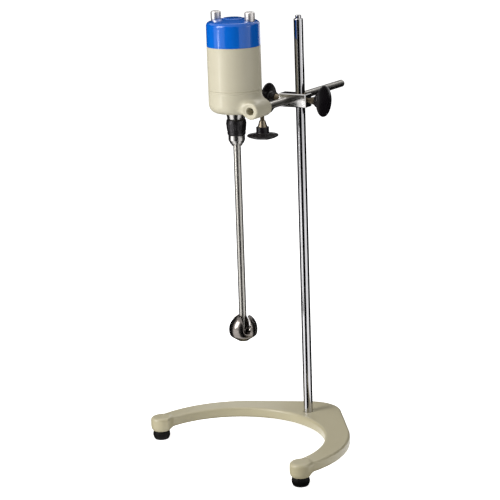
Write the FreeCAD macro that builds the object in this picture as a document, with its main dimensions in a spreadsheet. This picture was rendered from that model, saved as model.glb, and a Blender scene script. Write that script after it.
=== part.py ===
import FreeCAD, Part
import math
import os
import Sketcher

# A laboratory stirrer: a motor with a drill chuck, a stirring shaft and a closed impeller, carried by a
# cross rod and a two-bore clamp on a tall stand rod, which stands on a horseshoe base.
# Millimetres. The origin is on the floor, on the stand rod's axis. +Z is up and -Y is the open side of the base.

sizes = {
    # base casting and feet
    "foot_height": 12,
    "foot_top_radius": 10.6,
    "foot_belly_radius": 11.9,
    "foot_bottom_radius": 10.2,
    "foot_edge": 0.8,
    "foot_past_centre": 22,
    "foot_shift": 1.75,
    "rear_foot_back": 27,
    "boss_depth": 4,
    "boss_overhang": 1.9,
    "boss_taper": 0.9,
    "base_thickness": 14,
    "base_outer_radius": 146.5,
    "base_arm_width": 24.5,
    "base_web": 21,
    "base_centre_shift": 13,
    "base_hub_radius": 45.5,
    "base_rounding": 3,
    "base_lower_rounding": 1.5,
    "hub_recess_radius": 12,
    "hub_recess_depth": 4,
    "stud_radius": 2.5,
    "stud_length": 16,
    "stud_head_radius": 6,
    "stud_head_height": 2.8,
    "stud_head_low": 3.2,
    "seat_clearance": 0.02,
    "hole_spare": 0.3,
    # stand rod
    "rod_radius": 6.35,
    "rod_top": 571.6,
    "rod_stub_radius": 4,
    "rod_stub_height": 4.5,
    "rod_chamfer": 0.8,
    "rod_socket_depth": 7,
    "rod_spigot_radius": 5,
    "rod_nut_width": 16,
    "rod_nut_height": 5,
    "rod_washer_radius": 9.8,
    "rod_washer_thickness": 1.5,
    "rod_end_length": 0.5,
    # clamp
    "clamp_height": 463.7,
    "arm_swing_angle": 15.6,
    "clamp_half_width": 9,
    "clamp_half_height": 9,
    "clamp_right_end": 12.4,
    "clamp_left_wall": 7.5,
    "clamp_edge": 1.1,
    "sleeve_wall": 1.2,
    "running_gap": 0.05,
    "cross_offset": 16,
    "cross_radius": 5,
    "cross_front": 88,
    "cross_back": 146.6,
    "cross_chamfer": 0.9,
    # clamp screws and knobs
    "screw_radius": 3,
    "screw_tip_gap": 0.3,
    "screw_tip_chamfer": 0.6,
    "screw_depth_in_knob": 13,
    "knob_bore_spare": 0.5,
    "stand_knob_gap": 3.5,
    "cross_knob_gap": 0.5,
    "lug_knob_gap": 5.5,
    "knob_radius": 20.5,
    "knob_neck_radius": 4.2,
    "knob_cone_radius": 6.4,
    "knob_cone_length": 8,
    "knob_hub_radius": 8.4,
    "knob_hub_length": 8.6,
    "knob_dish": 1.6,
    "knob_rim": 2,
    "knob_dome": 5,
    # motor housing
    "motor_offset": 37,
    "motor_forward": 78,
    "motor_radius": 35,
    "housing_wall": 3.4,
    "housing_floor": 5,
    "housing_corner": 12,
    "housing_inner_corner": 8.5,
    "housing_drop": 6.7,
    "lower_height": 30.4,
    "shell_height": 56.6,
    "cap_wall_height": 28,
    "cap_corner": 4,
    "cap_inner_corner": 2,
    "cap_dome": 4,
    "cap_thickness": 3.5,
    "cap_disc_radius": 12.5,
    "cap_disc_height": 0.7,
    "seam_bevel": 0.5,
    "lug_radius": 11,
    "lug_front": 26,
    "lug_back": 14,
    "lug_rounding": 4.5,
    "lug_front_rounding": 2,
    "lug_screw_back": 4.5,
    # bearings and shaft
    "bearing_radius": 11,
    "bearing_width": 7,
    "bearing_race": 2.2,
    "bearing_seat_wall": 3,
    "lower_bearing_rise": 6,
    "upper_bearing_drop": 11,
    "shoulder_gap": 0.5,
    "spindle_radius": 4,
    "spindle_core_radius": 5,
    "spindle_drop": 14,
    "spindle_chamfer": 0.5,
    "spindle_hole_radius": 6.5,
    # through bolts
    "bolt_circle": 25.5,
    "bolt_radius": 2.2,
    "bolt_clearance": 0.2,
    "bolt_boss_radius": 4.6,
    "bolt_boss_rise": 15,
    "bolt_boss_foot": 2,
    "bolt_depth": 9,
    "nut_radius": 6.75,
    "nut_foot_radius": 6.3,
    "nut_height": 12.5,
    "nut_rounding": 2.6,
    "nut_grip": 7,
    "nut_seat_radius": 7.2,
    # electric parts
    "core_rise": 8.6,
    "core_height": 40,
    "stator_gap": 0.1,
    "stator_bore": 19,
    "coil_width": 24,
    "coil_depth": 6.5,
    "coil_overhang": 7,
    "armature_radius": 18.5,
    "armature_slot_width": 2.4,
    "armature_slot_depth": 5.5,
    "winding_radius": 16,
    "winding_inner": 7,
    "winding_height": 9,
    "winding_rounding": 3,
    "commutator_radius": 9.5,
    "commutator_height": 12,
    "commutator_rise": 2,
    "coil_gap": 0.5,
    "brush_gap": 0.3,
    "brush_width": 5,
    "brush_depth": 7,
    "brush_length": 13,
    "holder_wall": 1.6,
    "holder_clearance": 0.1,
    "holder_start": 3,
    "holder_end_gap": 0.4,
    "grommet_radius": 5,
    "grommet_bore": 3.2,
    "grommet_flange": 7,
    "grommet_thickness": 2.4,
    "grommet_rise": 22,
    "grommet_edge": 1.2,
    # chuck
    "chuck_top_gap": 0.5,
    "chuck_hub_radius": 11.6,
    "chuck_hub_top_radius": 13.2,
    "chuck_hub_length": 7.9,
    "sleeve_length": 21.6,
    "sleeve_bore": 10.1,
    "sleeve_top_radius": 12.8,
    "sleeve_belly_radius": 13.4,
    "sleeve_bottom_radius": 11.9,
    "sleeve_groove": 0.5,
    "chuck_nose_length": 11.6,
    "chuck_nose_radius": 11,
    "chuck_nose_tip": 8.5,
    "chuck_nose_slope": 5,
    "chuck_bore": 5.15,
    "jaw_radius": 2,
    "jaw_tilt_angle": 7,
    "jaw_circle": 5.8,
    "jaw_count": 3,
    "jaw_length": 9.4,
    "jaw_travel": 3,
    "jaw_stand_out": 2,
    "jaw_gap": 0.06,
    # stirring shaft and impeller
    "shaft_radius": 5,
    "shaft_grip": 15.6,
    "shaft_length": 283,
    "shaft_short": 1.5,
    "shaft_chamfer": 0.5,
    "impeller_base_radius": 6.2,
    "impeller_flare_radius": 17.5,
    "impeller_flare_rise": 7.5,
    "impeller_radius": 19.1,
    "impeller_middle_rise": 18,
    "impeller_throat": 9.5,
    "impeller_height": 34.7,
    "impeller_wall": 2.4,
    "impeller_floor": 8.5,
    "impeller_hub_radius": 8.2,
    "impeller_hub_rise": 17.5,
    "impeller_slot_width": 9.5,
    "impeller_slot_rise": 13,
    "impeller_slots": 3,
    "impeller_turn_angle": 49.1,
    "set_screw_radius": 2,
    "set_screw_rise": 13,
}


class Size:
    """A number of the model together with the formula that gives it."""

    def __init__(self, value, formula):
        self.value = float(value)
        self.formula = formula

    def __add__(self, other):
        other = as_size(other)
        return Size(self.value + other.value, "(%s + %s)" % (self.formula, other.formula))

    def __sub__(self, other):
        other = as_size(other)
        return Size(self.value - other.value, "(%s - %s)" % (self.formula, other.formula))

    def __mul__(self, other):
        other = as_size(other)
        return Size(self.value * other.value, "(%s * %s)" % (self.formula, other.formula))

    def __truediv__(self, other):
        other = as_size(other)
        return Size(self.value / other.value, "(%s / %s)" % (self.formula, other.formula))

    def __neg__(self):
        return Size(-self.value, "(-%s)" % self.formula)

    def __radd__(self, other):
        return as_size(other) + self

    def __rsub__(self, other):
        return as_size(other) - self

    def __rmul__(self, other):
        return as_size(other) * self


def as_size(number):
    if isinstance(number, Size):
        return number
    return Size(number, "(%s)" % repr(float(number)))


def root(number):
    return Size(math.sqrt(number.value), "sqrt(%s)" % number.formula)


def sine(angle):
    return Size(math.sin(math.radians(angle.value)), "sin(%s)" % angle.formula)


def cosine(angle):
    return Size(math.cos(math.radians(angle.value)), "cos(%s)" % angle.formula)


def tangent(angle):
    return Size(math.tan(math.radians(angle.value)), "tan(%s)" % angle.formula)


doc = FreeCAD.newDocument("Stirrer")
sheet = doc.addObject("Spreadsheet::Sheet", "Sizes")
for row, (name, number) in enumerate(sizes.items(), 1):
    sheet.set("A%d" % row, name)
    sheet.set("B%d" % row, str(number))
    sheet.setAlias("B%d" % row, name)
doc.recompute()


def size(name):
    return Size(sheet.get(name), "Sizes." + name)


pieces = []
cuts = []


def bind(thing, prop, amount):
    thing.setExpression(prop, as_size(amount).formula)


def new_body(label):
    body = doc.addObject("PartDesign::Body", label)
    body.Label = label
    pieces.append(body)
    return body


def arm_body(label):
    """A piece drawn about the stand rod and swung round it with the arm."""
    body = new_body(label)
    bind(body, "Placement.Rotation.Angle", size("arm_swing_angle"))
    return body


def motor_axis():
    """Where the motor's axis stands once the arm has swung."""
    across = -(size("cross_offset") + size("motor_offset"))
    along = -size("motor_forward")
    turn = size("arm_swing_angle")
    return across * cosine(turn) - along * sine(turn), across * sine(turn) + along * cosine(turn)


def motor_body(label, extra_turn=0):
    """A piece drawn about the motor's axis. extra_turn spins it round that axis."""
    body = new_body(label)
    x, y = motor_axis()
    bind(body, "Placement.Base.x", x)
    bind(body, "Placement.Base.y", y)
    bind(body, "Placement.Rotation.Angle", size("arm_swing_angle") + extra_turn)
    return body


def new_sketch(body, role, centre=(0, 0, 0), tilt=None):
    """A sketch on one of the body's own planes, moved to centre and turned by tilt in that plane."""
    plane = [feature for feature in body.Origin.OriginFeatures if feature.Role == role][0]
    drawing = body.newObject("Sketcher::SketchObject", body.Label + "_sketch")
    drawing.AttachmentSupport = [(plane, "")]
    drawing.MapMode = "FlatFace"
    x, y, z = [as_size(value) for value in centre]
    moves = {"XY_Plane": (x, y, z), "XZ_Plane": (x, z, -y), "YZ_Plane": (y, z, x)}[role]
    for letter, amount in zip("xyz", moves):
        bind(drawing, "AttachmentOffset.Base." + letter, amount)
    if tilt is not None:
        bind(drawing, "AttachmentOffset.Rotation.Angle", tilt)
    return drawing


def flat(point):
    return FreeCAD.Vector(as_size(point[0]).value, as_size(point[1]).value, 0)


def fix_point(drawing, geometry, end, x, y):
    """Two dimensions from the sketch's origin hold one point."""
    for kind, amount in (("DistanceX", as_size(x)), ("DistanceY", as_size(y))):
        index = drawing.addConstraint(Sketcher.Constraint(kind, -1, 1, geometry, end, amount.value))
        drawing.setExpression("Constraints[%d]" % index, amount.formula)


def fix_radius(drawing, geometry, radius):
    index = drawing.addConstraint(Sketcher.Constraint("Radius", geometry, radius.value))
    drawing.setExpression("Constraints[%d]" % index, radius.formula)


def draw_loop(drawing, corners):
    """A closed outline. A corner is (x, y), or (x, y, (centre x, centre y, radius, counterclockwise))
    where an arc leads to the next corner."""
    first = drawing.GeometryCount
    ends = []
    for corner, following in zip(corners, corners[1:] + corners[:1]):
        start, finish = flat(corner), flat(following)
        if len(corner) == 2:
            drawing.addGeometry(Part.LineSegment(start, finish), False)
            ends.append((1, 2))
            continue
        centre, radius, counterclockwise = flat(corner[2][:2]), corner[2][2], corner[2][3]
        if not counterclockwise:
            start, finish = finish, start
        low = math.atan2(start.y - centre.y, start.x - centre.x)
        high = math.atan2(finish.y - centre.y, finish.x - centre.x)
        if high <= low:
            high += 2 * math.pi
        circle = Part.Circle(centre, FreeCAD.Vector(0, 0, 1), radius.value)
        drawing.addGeometry(Part.ArcOfCircle(circle, low, high), False)
        ends.append((1, 2) if counterclockwise else (2, 1))
    count = len(corners)
    for k in range(count):
        after = (k + 1) % count
        drawing.addConstraint(Sketcher.Constraint("Coincident", first + k, ends[k][1], first + after,
            ends[after][0]))
    for k, corner in enumerate(corners):
        fix_point(drawing, first + k, ends[k][0], corner[0], corner[1])
        if len(corner) == 3:
            fix_radius(drawing, first + k, as_size(corner[2][2]))


def rectangle(low_x, low_y, high_x, high_y):
    return [(low_x, low_y), (high_x, low_y), (high_x, high_y), (low_x, high_y)]


def turned(body, corners, centre=(0, 0, 0), role="XZ_Plane", axis="V_Axis", tilt=None, cut=False):
    """Spin an outline round an axis of its sketch, to add material or to cut it away."""
    drawing = new_sketch(body, role, centre, tilt)
    draw_loop(drawing, corners)
    before = body.Tip
    feature = body.newObject("PartDesign::Groove" if cut else "PartDesign::Revolution", body.Label + "_turn")
    feature.Profile = drawing
    feature.ReferenceAxis = (drawing, [axis])
    feature.Angle = 360
    if cut:
        cuts.append((feature, before))
    return feature


def bore(body, radius, low, high, centre=(0, 0, 0), role="XZ_Plane", axis="V_Axis", tilt=None):
    """A round hole from low to high along the axis through centre."""
    if axis == "V_Axis":
        corners = rectangle(0, low, radius, high)
    else:
        corners = rectangle(low, 0, high, radius)
    return turned(body, corners, centre, role, axis, tilt, cut=True)


def raised(body, drawing, length):
    feature = body.newObject("PartDesign::Pad", body.Label + "_pad")
    feature.Profile = drawing
    bind(feature, "Length", length)
    return feature


def sunk(body, drawing, length, reverse=False):
    before = body.Tip
    feature = body.newObject("PartDesign::Pocket", body.Label + "_pocket")
    feature.Profile = drawing
    feature.Reversed = reverse
    bind(feature, "Length", length)
    cuts.append((feature, before))
    return feature


def repeated(body, feature, count):
    """Copies of a feature round the body's own upright axis."""
    upright = [line for line in body.Origin.OriginFeatures if line.Role == "Z_Axis"][0]
    pattern = body.newObject("PartDesign::PolarPattern", body.Label + "_pattern")
    pattern.Originals = [feature]
    pattern.Axis = (upright, [""])
    pattern.Angle = 360
    pattern.Occurrences = count
    body.Tip = pattern
    return pattern


def edged(body, amount, chosen, kind="PartDesign::Fillet"):
    """Round or bevel the edges that the function chosen picks by their place."""
    doc.recompute()
    tip = body.Tip
    names = ["Edge%d" % (k + 1) for k, edge in enumerate(tip.Shape.Edges) if chosen(edge)]
    feature = body.newObject(kind, body.Label + "_edge")
    feature.Base = (tip, names)
    bind(feature, "Radius" if kind == "PartDesign::Fillet" else "Size", amount)
    return feature


def level(edge, height):
    box = edge.BoundBox
    return abs(box.ZMin - height) < 1e-4 and abs(box.ZMax - height) < 1e-4


base_under = size("foot_height") + size("boss_depth")
base_top = base_under + size("base_thickness")
housing_bottom = size("clamp_height") - size("housing_drop")
seam = housing_bottom + size("lower_height")
cap_seam = seam + size("shell_height")
cap_wall_top = cap_seam + size("cap_wall_height")
cap_shoulder = cap_wall_top + size("cap_corner")
lower_bearing = housing_bottom + size("lower_bearing_rise")
upper_bearing = cap_shoulder - size("upper_bearing_drop")
bolt_boss_top = housing_bottom + size("bolt_boss_rise")
core_bottom = seam + size("core_rise")
spindle_bottom = housing_bottom - size("spindle_drop")
chuck_top = housing_bottom - size("chuck_top_gap")
sleeve_top = chuck_top - size("chuck_hub_length")
sleeve_bottom = sleeve_top - size("sleeve_length")
nose_bottom = sleeve_bottom - size("chuck_nose_length")
shaft_top = nose_bottom + size("shaft_grip")
impeller_bottom = shaft_top - size("shaft_length") - size("shaft_short")
inner_radius = size("base_outer_radius") - size("base_arm_width")
inner_y = -(inner_radius + size("base_web"))
outer_y = inner_y + size("base_centre_shift")
tip_y = outer_y - size("foot_past_centre")
outer_tip = root(size("base_outer_radius") * size("base_outer_radius") - (tip_y - outer_y) * (tip_y - outer_y))
inner_tip = root(inner_radius * inner_radius - (tip_y - inner_y) * (tip_y - inner_y))
foot_x = (outer_tip + inner_tip) / 2 + size("foot_shift")
boss_radius = (outer_tip - inner_tip) / 2 + size("boss_overhang")
foot_places = [("front_left_foot", -foot_x, tip_y), ("front_right_foot", foot_x, tip_y),
               ("rear_foot", as_size(0), size("rear_foot_back"))]


def make_base():
    """A horseshoe casting. Its outer edge is a wide arc over the arms, joined by straight tangents to a
    tighter arc round the rod, and its inner edge is one arc that bites into it from the front."""
    body = new_body("base")
    outer, hub = size("base_outer_radius"), size("base_hub_radius")
    rise = (outer - hub) / (-outer_y)
    run = root(1 - rise * rise)
    big_arc = (0, outer_y, outer, True)
    drawing = new_sketch(body, "XY_Plane", (0, 0, base_under))
    draw_loop(drawing, [
        (outer_tip, tip_y, big_arc),
        (outer * run, outer_y + outer * rise),
        (hub * run, hub * rise, (0, 0, hub, True)),
        (-(hub * run), hub * rise),
        (-(outer * run), outer_y + outer * rise, big_arc),
        (-outer_tip, tip_y),
        (-inner_tip, tip_y, (0, inner_y, inner_radius, False)),
        (inner_tip, tip_y),
    ])
    raised(body, drawing, size("base_thickness"))
    under, tip_width = base_under.value, (outer_tip - inner_tip).value
    edged(body, size("base_lower_rounding"), lambda edge: level(edge, under) and edge.Length > 2 * tip_width)
    low = size("foot_height")
    for label, x, y in foot_places:
        high = base_top if y.value < 0 else base_under + size("base_lower_rounding")
        turned(body, [(0, low), (boss_radius - size("boss_taper"), low), (boss_radius, base_under),
                      (boss_radius, high), (0, high)], (x, y, 0))
    top = base_top.value
    edged(body, size("base_rounding"), lambda edge: level(edge, top))
    clear = size("seat_clearance")
    bore(body, size("rod_radius") + clear, base_top - size("rod_socket_depth"), base_top + 1)
    bore(body, size("rod_spigot_radius") + clear, base_under, base_top)
    bore(body, size("hub_recess_radius"), low, base_under + size("hub_recess_depth"))
    for label, x, y in foot_places:
        bore(body, size("stud_radius") + clear, low - 1, stud_top() + size("hole_spare"), (x, y, 0))


def stud_neck():
    """Height where a stud's head ends and its shank begins, inside the rubber."""
    return size("stud_head_low") + size("stud_head_height")


def stud_top():
    return stud_neck() + size("stud_length")


def make_feet():
    """Three rubber feet that bulge a little, each moulded round the head of a stud."""
    top, clear = size("foot_height"), size("seat_clearance")
    hole, head = size("stud_radius") + clear, size("stud_head_radius") + clear
    lowest, edge = size("foot_bottom_radius"), size("foot_edge")
    bulge = arc_through((lowest, edge), (size("foot_belly_radius"), top / 2), (size("foot_top_radius"), top))
    for label, x, y in foot_places:
        body = new_body(label)
        turned(body, [(0, 0), (lowest - edge, 0), (lowest, edge, bulge + (True,)),
            (size("foot_top_radius"), top),
                      (hole, top), (hole, stud_neck() + clear), (head, stud_neck() + clear),
                      (head, size("stud_head_low") - clear), (0, size("stud_head_low") - clear)], (x, y, 0))


def make_foot_studs():
    """Three studs with flat heads, as one node of three solids."""
    solids = []
    for label, x, y in foot_places:
        parts = []
        for radius, start, length in ((size("stud_head_radius"), size("stud_head_low"),
            size("stud_head_height")),
                                      (size("stud_radius"), stud_neck(), size("stud_length"))):
            cylinder = doc.addObject("Part::Cylinder", "stud_bar")
            bind(cylinder, "Radius", radius)
            bind(cylinder, "Height", length)
            bind(cylinder, "Placement.Base.x", x)
            bind(cylinder, "Placement.Base.y", y)
            bind(cylinder, "Placement.Base.z", start)
            parts.append(cylinder)
        stud = doc.addObject("Part::MultiFuse", "foot_stud")
        stud.Shapes = parts
        solids.append(stud)
    group(solids, "foot_studs")


def group(solids, label):
    """Several alike solids in one node."""
    compound = doc.addObject("Part::Compound", label)
    compound.Links = solids
    compound.Label = label
    pieces.append(compound)
    return compound


def make_stand_rod():
    body = new_body("stand_rod")
    radius, spigot, bevel = size("rod_radius"), size("rod_spigot_radius"), size("rod_chamfer")
    stub, top = size("rod_stub_radius"), size("rod_top")
    shoulder = base_top - size("rod_socket_depth")
    bottom = rod_nut_bottom() - size("rod_end_length")
    turned(body, [(0, bottom), (spigot - bevel, bottom), (spigot, bottom + bevel), (spigot, shoulder),
        (radius, shoulder),
                  (radius, top - bevel), (radius - bevel, top), (stub, top),
                  (stub, top + size("rod_stub_height") - bevel),
                  (stub - bevel, top + size("rod_stub_height")), (0, top + size("rod_stub_height"))])


def rod_nut_top():
    """The nut sits under a washer in the recess below the hub."""
    return base_under + size("hub_recess_depth") - size("rod_washer_thickness")


def rod_nut_bottom():
    return rod_nut_top() - size("rod_nut_height")


def make_rod_fixings():
    body = new_body("rod_washer")
    hole = size("rod_spigot_radius") + size("seat_clearance")
    turned(body, rectangle(hole, rod_nut_top(), size("rod_washer_radius"),
        rod_nut_top() + size("rod_washer_thickness")))
    body = new_body("rod_nut")
    drawing = new_sketch(body, "XY_Plane", (0, 0, rod_nut_bottom()))
    half, corner = size("rod_nut_width") / 2, size("rod_nut_width") / root(as_size(3))
    draw_loop(drawing, [(corner, 0), (corner / 2, half), (-(corner / 2), half), (-corner, 0),
                        (-(corner / 2), -half), (corner / 2, -half)])
    raised(body, drawing, size("rod_nut_height"))
    bore(body, hole, rod_nut_bottom() - 1, rod_nut_top() + 1)


def make_clamp():
    """A square bar with an upright bore for the stand rod's sleeve and a level bore for the cross rod."""
    height, deep, tall = size("clamp_height"), size("clamp_half_width"), size("clamp_half_height")
    right = size("clamp_right_end")
    left = -(size("cross_offset") + size("cross_radius") + size("clamp_left_wall"))
    body = arm_body("clamp_body")
    drawing = new_sketch(body, "XZ_Plane", (0, deep, height))
    draw_loop(drawing, rectangle(left, -tall, right, tall))
    raised(body, drawing, 2 * deep)
    edged(body, size("clamp_edge"), lambda edge: True, "PartDesign::Chamfer")
    sleeve_radius = size("rod_radius") + size("running_gap") + size("sleeve_wall")
    bore(body, sleeve_radius + size("running_gap"), -tall - 1, tall + 1, (0, 0, height))
    bore(body, size("cross_radius") + size("running_gap"), -deep - 1, deep + 1,
        (-size("cross_offset"), 0, height),
         "YZ_Plane", "H_Axis")
    screw_hole = size("screw_radius") + size("running_gap")
    bore(body, screw_hole, 0, right + 1, (0, 0, height), "XZ_Plane", "H_Axis")
    bore(body, screw_hole, left - 1, -size("cross_offset"), (0, 0, height), "XZ_Plane", "H_Axis")
    sleeve = arm_body("clamp_sleeve")
    turned(sleeve, rectangle(size("rod_radius") + size("running_gap"), -tall, sleeve_radius, tall),
        (0, 0, height))
    stand_tip = sleeve_radius + size("screw_tip_gap")
    cross_tip = -(size("cross_offset") + size("cross_radius") + size("screw_tip_gap"))
    make_clamp_screw("stand_clamp", arm_body, (0, 0, height), 1, stand_tip, right + size("stand_knob_gap"))
    make_clamp_screw("cross_clamp", arm_body, (0, 0, height), -1, cross_tip, left - size("cross_knob_gap"))


def along(direction, upright, places):
    """Turn (distance along the axis, radius) pairs into sketch corners for an axis that points either way."""
    corners = []
    for place in places:
        distance, radius = place[0], place[1]
        corners.append((radius, distance) if upright else (distance, radius))
    return corners


def make_clamp_screw(name, maker, centre, direction, tip, seat, upright=False):
    """A screw from its tip to its end inside the knob, and the knob moulded on it. The knob has a neck that
    flares into a hub, and a thin disc with a domed face. seat is the neck's narrow end."""
    radius, bevel = size("screw_radius"), size("screw_tip_chamfer")
    end = seat + direction * size("screw_depth_in_knob")
    axis = "V_Axis" if upright else "H_Axis"
    screw = maker(name + "_screw")
    turned(screw, along(direction, upright, [
        (tip, 0), (tip, radius - bevel), (tip + direction * bevel, radius), (end, radius), (end, 0)]),
        centre, "XZ_Plane", axis)
    knob = maker(name + "_knob")
    hole = radius + size("running_gap")
    hole_end = end + direction * size("knob_bore_spare")
    cone_end = seat + direction * size("knob_cone_length")
    hub_end = cone_end + direction * size("knob_hub_length")
    rim_start = hub_end + direction * size("knob_dish")
    rim_end = rim_start + direction * size("knob_rim")
    dome = size("knob_dome")
    wide = size("knob_radius")
    face_radius = (wide * wide + dome * dome) / (2 * dome)
    face_centre = rim_end + direction * (dome - face_radius)
    arc_centre = (0, face_centre) if upright else (face_centre, 0)
    counterclockwise = (direction > 0) == upright
    corners = along(direction, upright, [
        (hole_end, 0), (hole_end, hole), (cone_end, hole), (cone_end, size("knob_hub_radius")),
        (hub_end, size("knob_hub_radius")), (rim_start, wide), (rim_end, wide),
        (rim_end + direction * dome, 0)])
    corners[6] = corners[6] + (arc_centre + (face_radius, counterclockwise),)
    turned(knob, corners, centre, "XZ_Plane", axis)
    ferrule = maker(name + "_ferrule")
    turned(ferrule, along(direction, upright, [
        (seat, hole), (seat, size("knob_neck_radius")), (cone_end, size("knob_cone_radius")),
        (cone_end, hole)]),
        centre, "XZ_Plane", axis)


def make_cross_rod():
    body = arm_body("cross_rod")
    radius, bevel = size("cross_radius"), size("cross_chamfer")
    near, far = -size("cross_front"), size("cross_back")
    turned(body, [(near, 0), (near, radius - bevel), (near + bevel, radius), (far - bevel, radius),
                  (far, radius - bevel), (far, 0)],
           (-size("cross_offset"), 0, size("clamp_height")), "YZ_Plane", "H_Axis")


def wall_radius():
    return size("motor_radius") - size("housing_wall")


def make_lower_housing():
    """The cup under the motor, with a rounded lower edge, a seat for the lower bearing and a barrel lug at
    its side, bored for the cross rod."""
    body = motor_body("lower_housing")
    radius, inside, corner = size("motor_radius"), wall_radius(), size("housing_corner")
    bottom, floor = housing_bottom, housing_bottom + size("housing_floor")
    inner_corner, bevel = size("housing_inner_corner"), size("seam_bevel")
    hole, seat = size("spindle_hole_radius"), size("bearing_radius")
    seat_top = lower_bearing + size("bearing_width")
    seat_wall = seat + size("bearing_seat_wall")
    turned(body, [
        (hole, bottom), (radius - corner, bottom, (radius - corner, bottom + corner, corner, True)),
        (radius, bottom + corner), (radius, seam - bevel), (radius - bevel, seam), (inside, seam),
        (inside, floor + inner_corner, (inside - inner_corner, floor + inner_corner, inner_corner, False)),
        (inside - inner_corner, floor), (seat_wall, floor), (seat_wall, seat_top), (seat, seat_top),
        (seat, lower_bearing), (hole, lower_bearing)])
    for side in (-1, 1):
        boss = rectangle(0, bottom + size("bolt_boss_foot"), size("bolt_boss_radius"), bolt_boss_top)
        turned(body, boss, (side * size("bolt_circle"), 0, 0))
    lug, near, far = size("lug_radius"), -size("lug_front"), size("lug_back")
    soft, small = size("lug_rounding"), size("lug_front_rounding")
    lug_centre = (size("motor_offset"), 0, size("clamp_height"))
    turned(body, [
        (near, 0), (near, lug - small, (near + small, lug - small, small, False)), (near + small, lug),
        (far - soft, lug, (far - soft, lug - soft, soft, False)), (far, lug - soft), (far, 0)],
        lug_centre, "YZ_Plane", "H_Axis")
    bore(body, size("cross_radius") + size("running_gap"), near - 1, far + 1, lug_centre, "YZ_Plane",
        "H_Axis")
    bore(body, size("screw_radius") + size("running_gap"), size("clamp_height") - lug - 1,
        size("clamp_height"),
         (size("motor_offset"), size("lug_screw_back"), 0))
    for side in (-1, 1):
        bore(body, size("bolt_radius") + size("seat_clearance"), bolt_boss_top - size("bolt_depth"),
             bolt_boss_top + 1, (side * size("bolt_circle"), 0, 0))
    bore(body, size("grommet_radius"), -radius - 1, -inside + 1, (0, 0, grommet_height()), "XZ_Plane",
        "H_Axis")
    tip = size("clamp_height") - size("cross_radius") - size("screw_tip_gap")
    seat_end = size("clamp_height") - lug - size("lug_knob_gap")
    make_clamp_screw("lug", motor_body, (size("motor_offset"), size("lug_screw_back"), 0), -1, tip, seat_end,
        True)


def grommet_height():
    return housing_bottom + size("grommet_rise")


def make_motor_shell():
    body = motor_body("motor_shell")
    radius, inside, bevel = size("motor_radius"), wall_radius(), size("seam_bevel")
    turned(body, [(inside, seam), (radius - bevel, seam), (radius, seam + bevel), (radius, cap_seam - bevel),
                  (radius - bevel, cap_seam), (inside, cap_seam)])


def make_top_cap():
    """The coloured cap: a straight wall, a small shoulder and a shallow dome with a low disc, two flat seats
    for the nuts and the upper bearing's seat inside."""
    body = motor_body("top_cap")
    radius, inside, bevel, corner = size("motor_radius"), wall_radius(), size("seam_bevel"), size("cap_corner")
    ceiling = cap_shoulder - size("cap_thickness")
    soft = size("cap_inner_corner")
    seat, seat_top = size("bearing_radius"), upper_bearing + size("bearing_width")
    seat_wall = seat + size("bearing_seat_wall")
    rim, rise = radius - corner, size("cap_dome")
    sphere = (rim * rim + rise * rise) / (2 * rise)
    centre = cap_shoulder + rise - sphere
    disc, lift = size("cap_disc_radius"), size("cap_disc_height")
    disc_foot = centre + root(sphere * sphere - disc * disc)
    turned(body, [
        (inside, cap_seam), (radius - bevel, cap_seam), (radius, cap_seam + bevel),
        (radius, cap_wall_top, (rim, cap_wall_top, corner, True)),
        (rim, cap_shoulder, (0, centre, sphere, True)),
        (disc, disc_foot), (disc - lift, disc_foot + lift), (0, disc_foot + lift),
        (0, seat_top), (seat, seat_top), (seat, upper_bearing), (seat_wall, upper_bearing),
        (seat_wall, ceiling),
        (inside - soft, ceiling, (inside - soft, ceiling - soft, soft, False)), (inside, ceiling - soft)])
    for side in (-1, 1):
        place = (side * size("bolt_circle"), 0, 0)
        bore(body, size("bolt_radius") + size("bolt_clearance"), cap_seam, cap_shoulder + rise, place)
        bore(body, size("nut_seat_radius"), cap_shoulder, cap_shoulder + 2 * rise, place)


def make_tie_bolts():
    """Two long bolts hold the cap, the shell and the lower housing together under two cap nuts."""
    bolts, nuts = [], []
    low = bolt_boss_top - size("bolt_depth")
    foot, crown = cap_shoulder, cap_shoulder + size("nut_height")
    high = foot + size("nut_grip")
    inner = size("bolt_radius") + size("seat_clearance")
    narrow, wide, soft = size("nut_foot_radius"), size("nut_radius"), size("nut_rounding")
    for side in (-1, 1):
        bolt = doc.addObject("PartDesign::Body", "tie_bolt")
        turned(bolt, rectangle(0, low, size("bolt_radius"), high), (side * size("bolt_circle"), 0, 0))
        bolts.append(bolt)
        nut = doc.addObject("PartDesign::Body", "dome_nut")
        turned(nut, [
            (inner, foot), (narrow, foot), (wide, foot + size("nut_height") / 4),
            (wide, crown - soft, (wide - soft, crown - soft, soft, True)), (wide - soft, crown), (0, crown),
            (0, high + size("hole_spare")), (inner, high + size("hole_spare"))],
            (side * size("bolt_circle"), 0, 0))
        nuts.append(nut)
    motor_group(bolts, "tie_bolts")
    motor_group(nuts, "dome_nuts")


def motor_group(solids, label):
    """Several alike solids, drawn about the motor's axis, in one node."""
    node = group(solids, label)
    x, y = motor_axis()
    bind(node, "Placement.Base.x", x)
    bind(node, "Placement.Base.y", y)
    bind(node, "Placement.Rotation.Angle", size("arm_swing_angle"))


def make_bearings():
    for label, low in (("lower_bearing", lower_bearing), ("upper_bearing", upper_bearing)):
        body = motor_body(label)
        inner, outer = size("spindle_radius") + size("running_gap"), size("bearing_radius")
        high = low + size("bearing_width")
        race, dip = size("bearing_race"), size("bearing_width") / 12
        turned(body, [
            (inner, low), (inner + race, low), (inner + race, low + dip), (outer - race, low + dip),
            (outer - race, low),
            (outer, low), (outer, high), (outer - race, high), (outer - race, high - dip),
            (inner + race, high - dip), (inner + race, high), (inner, high)])


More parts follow.
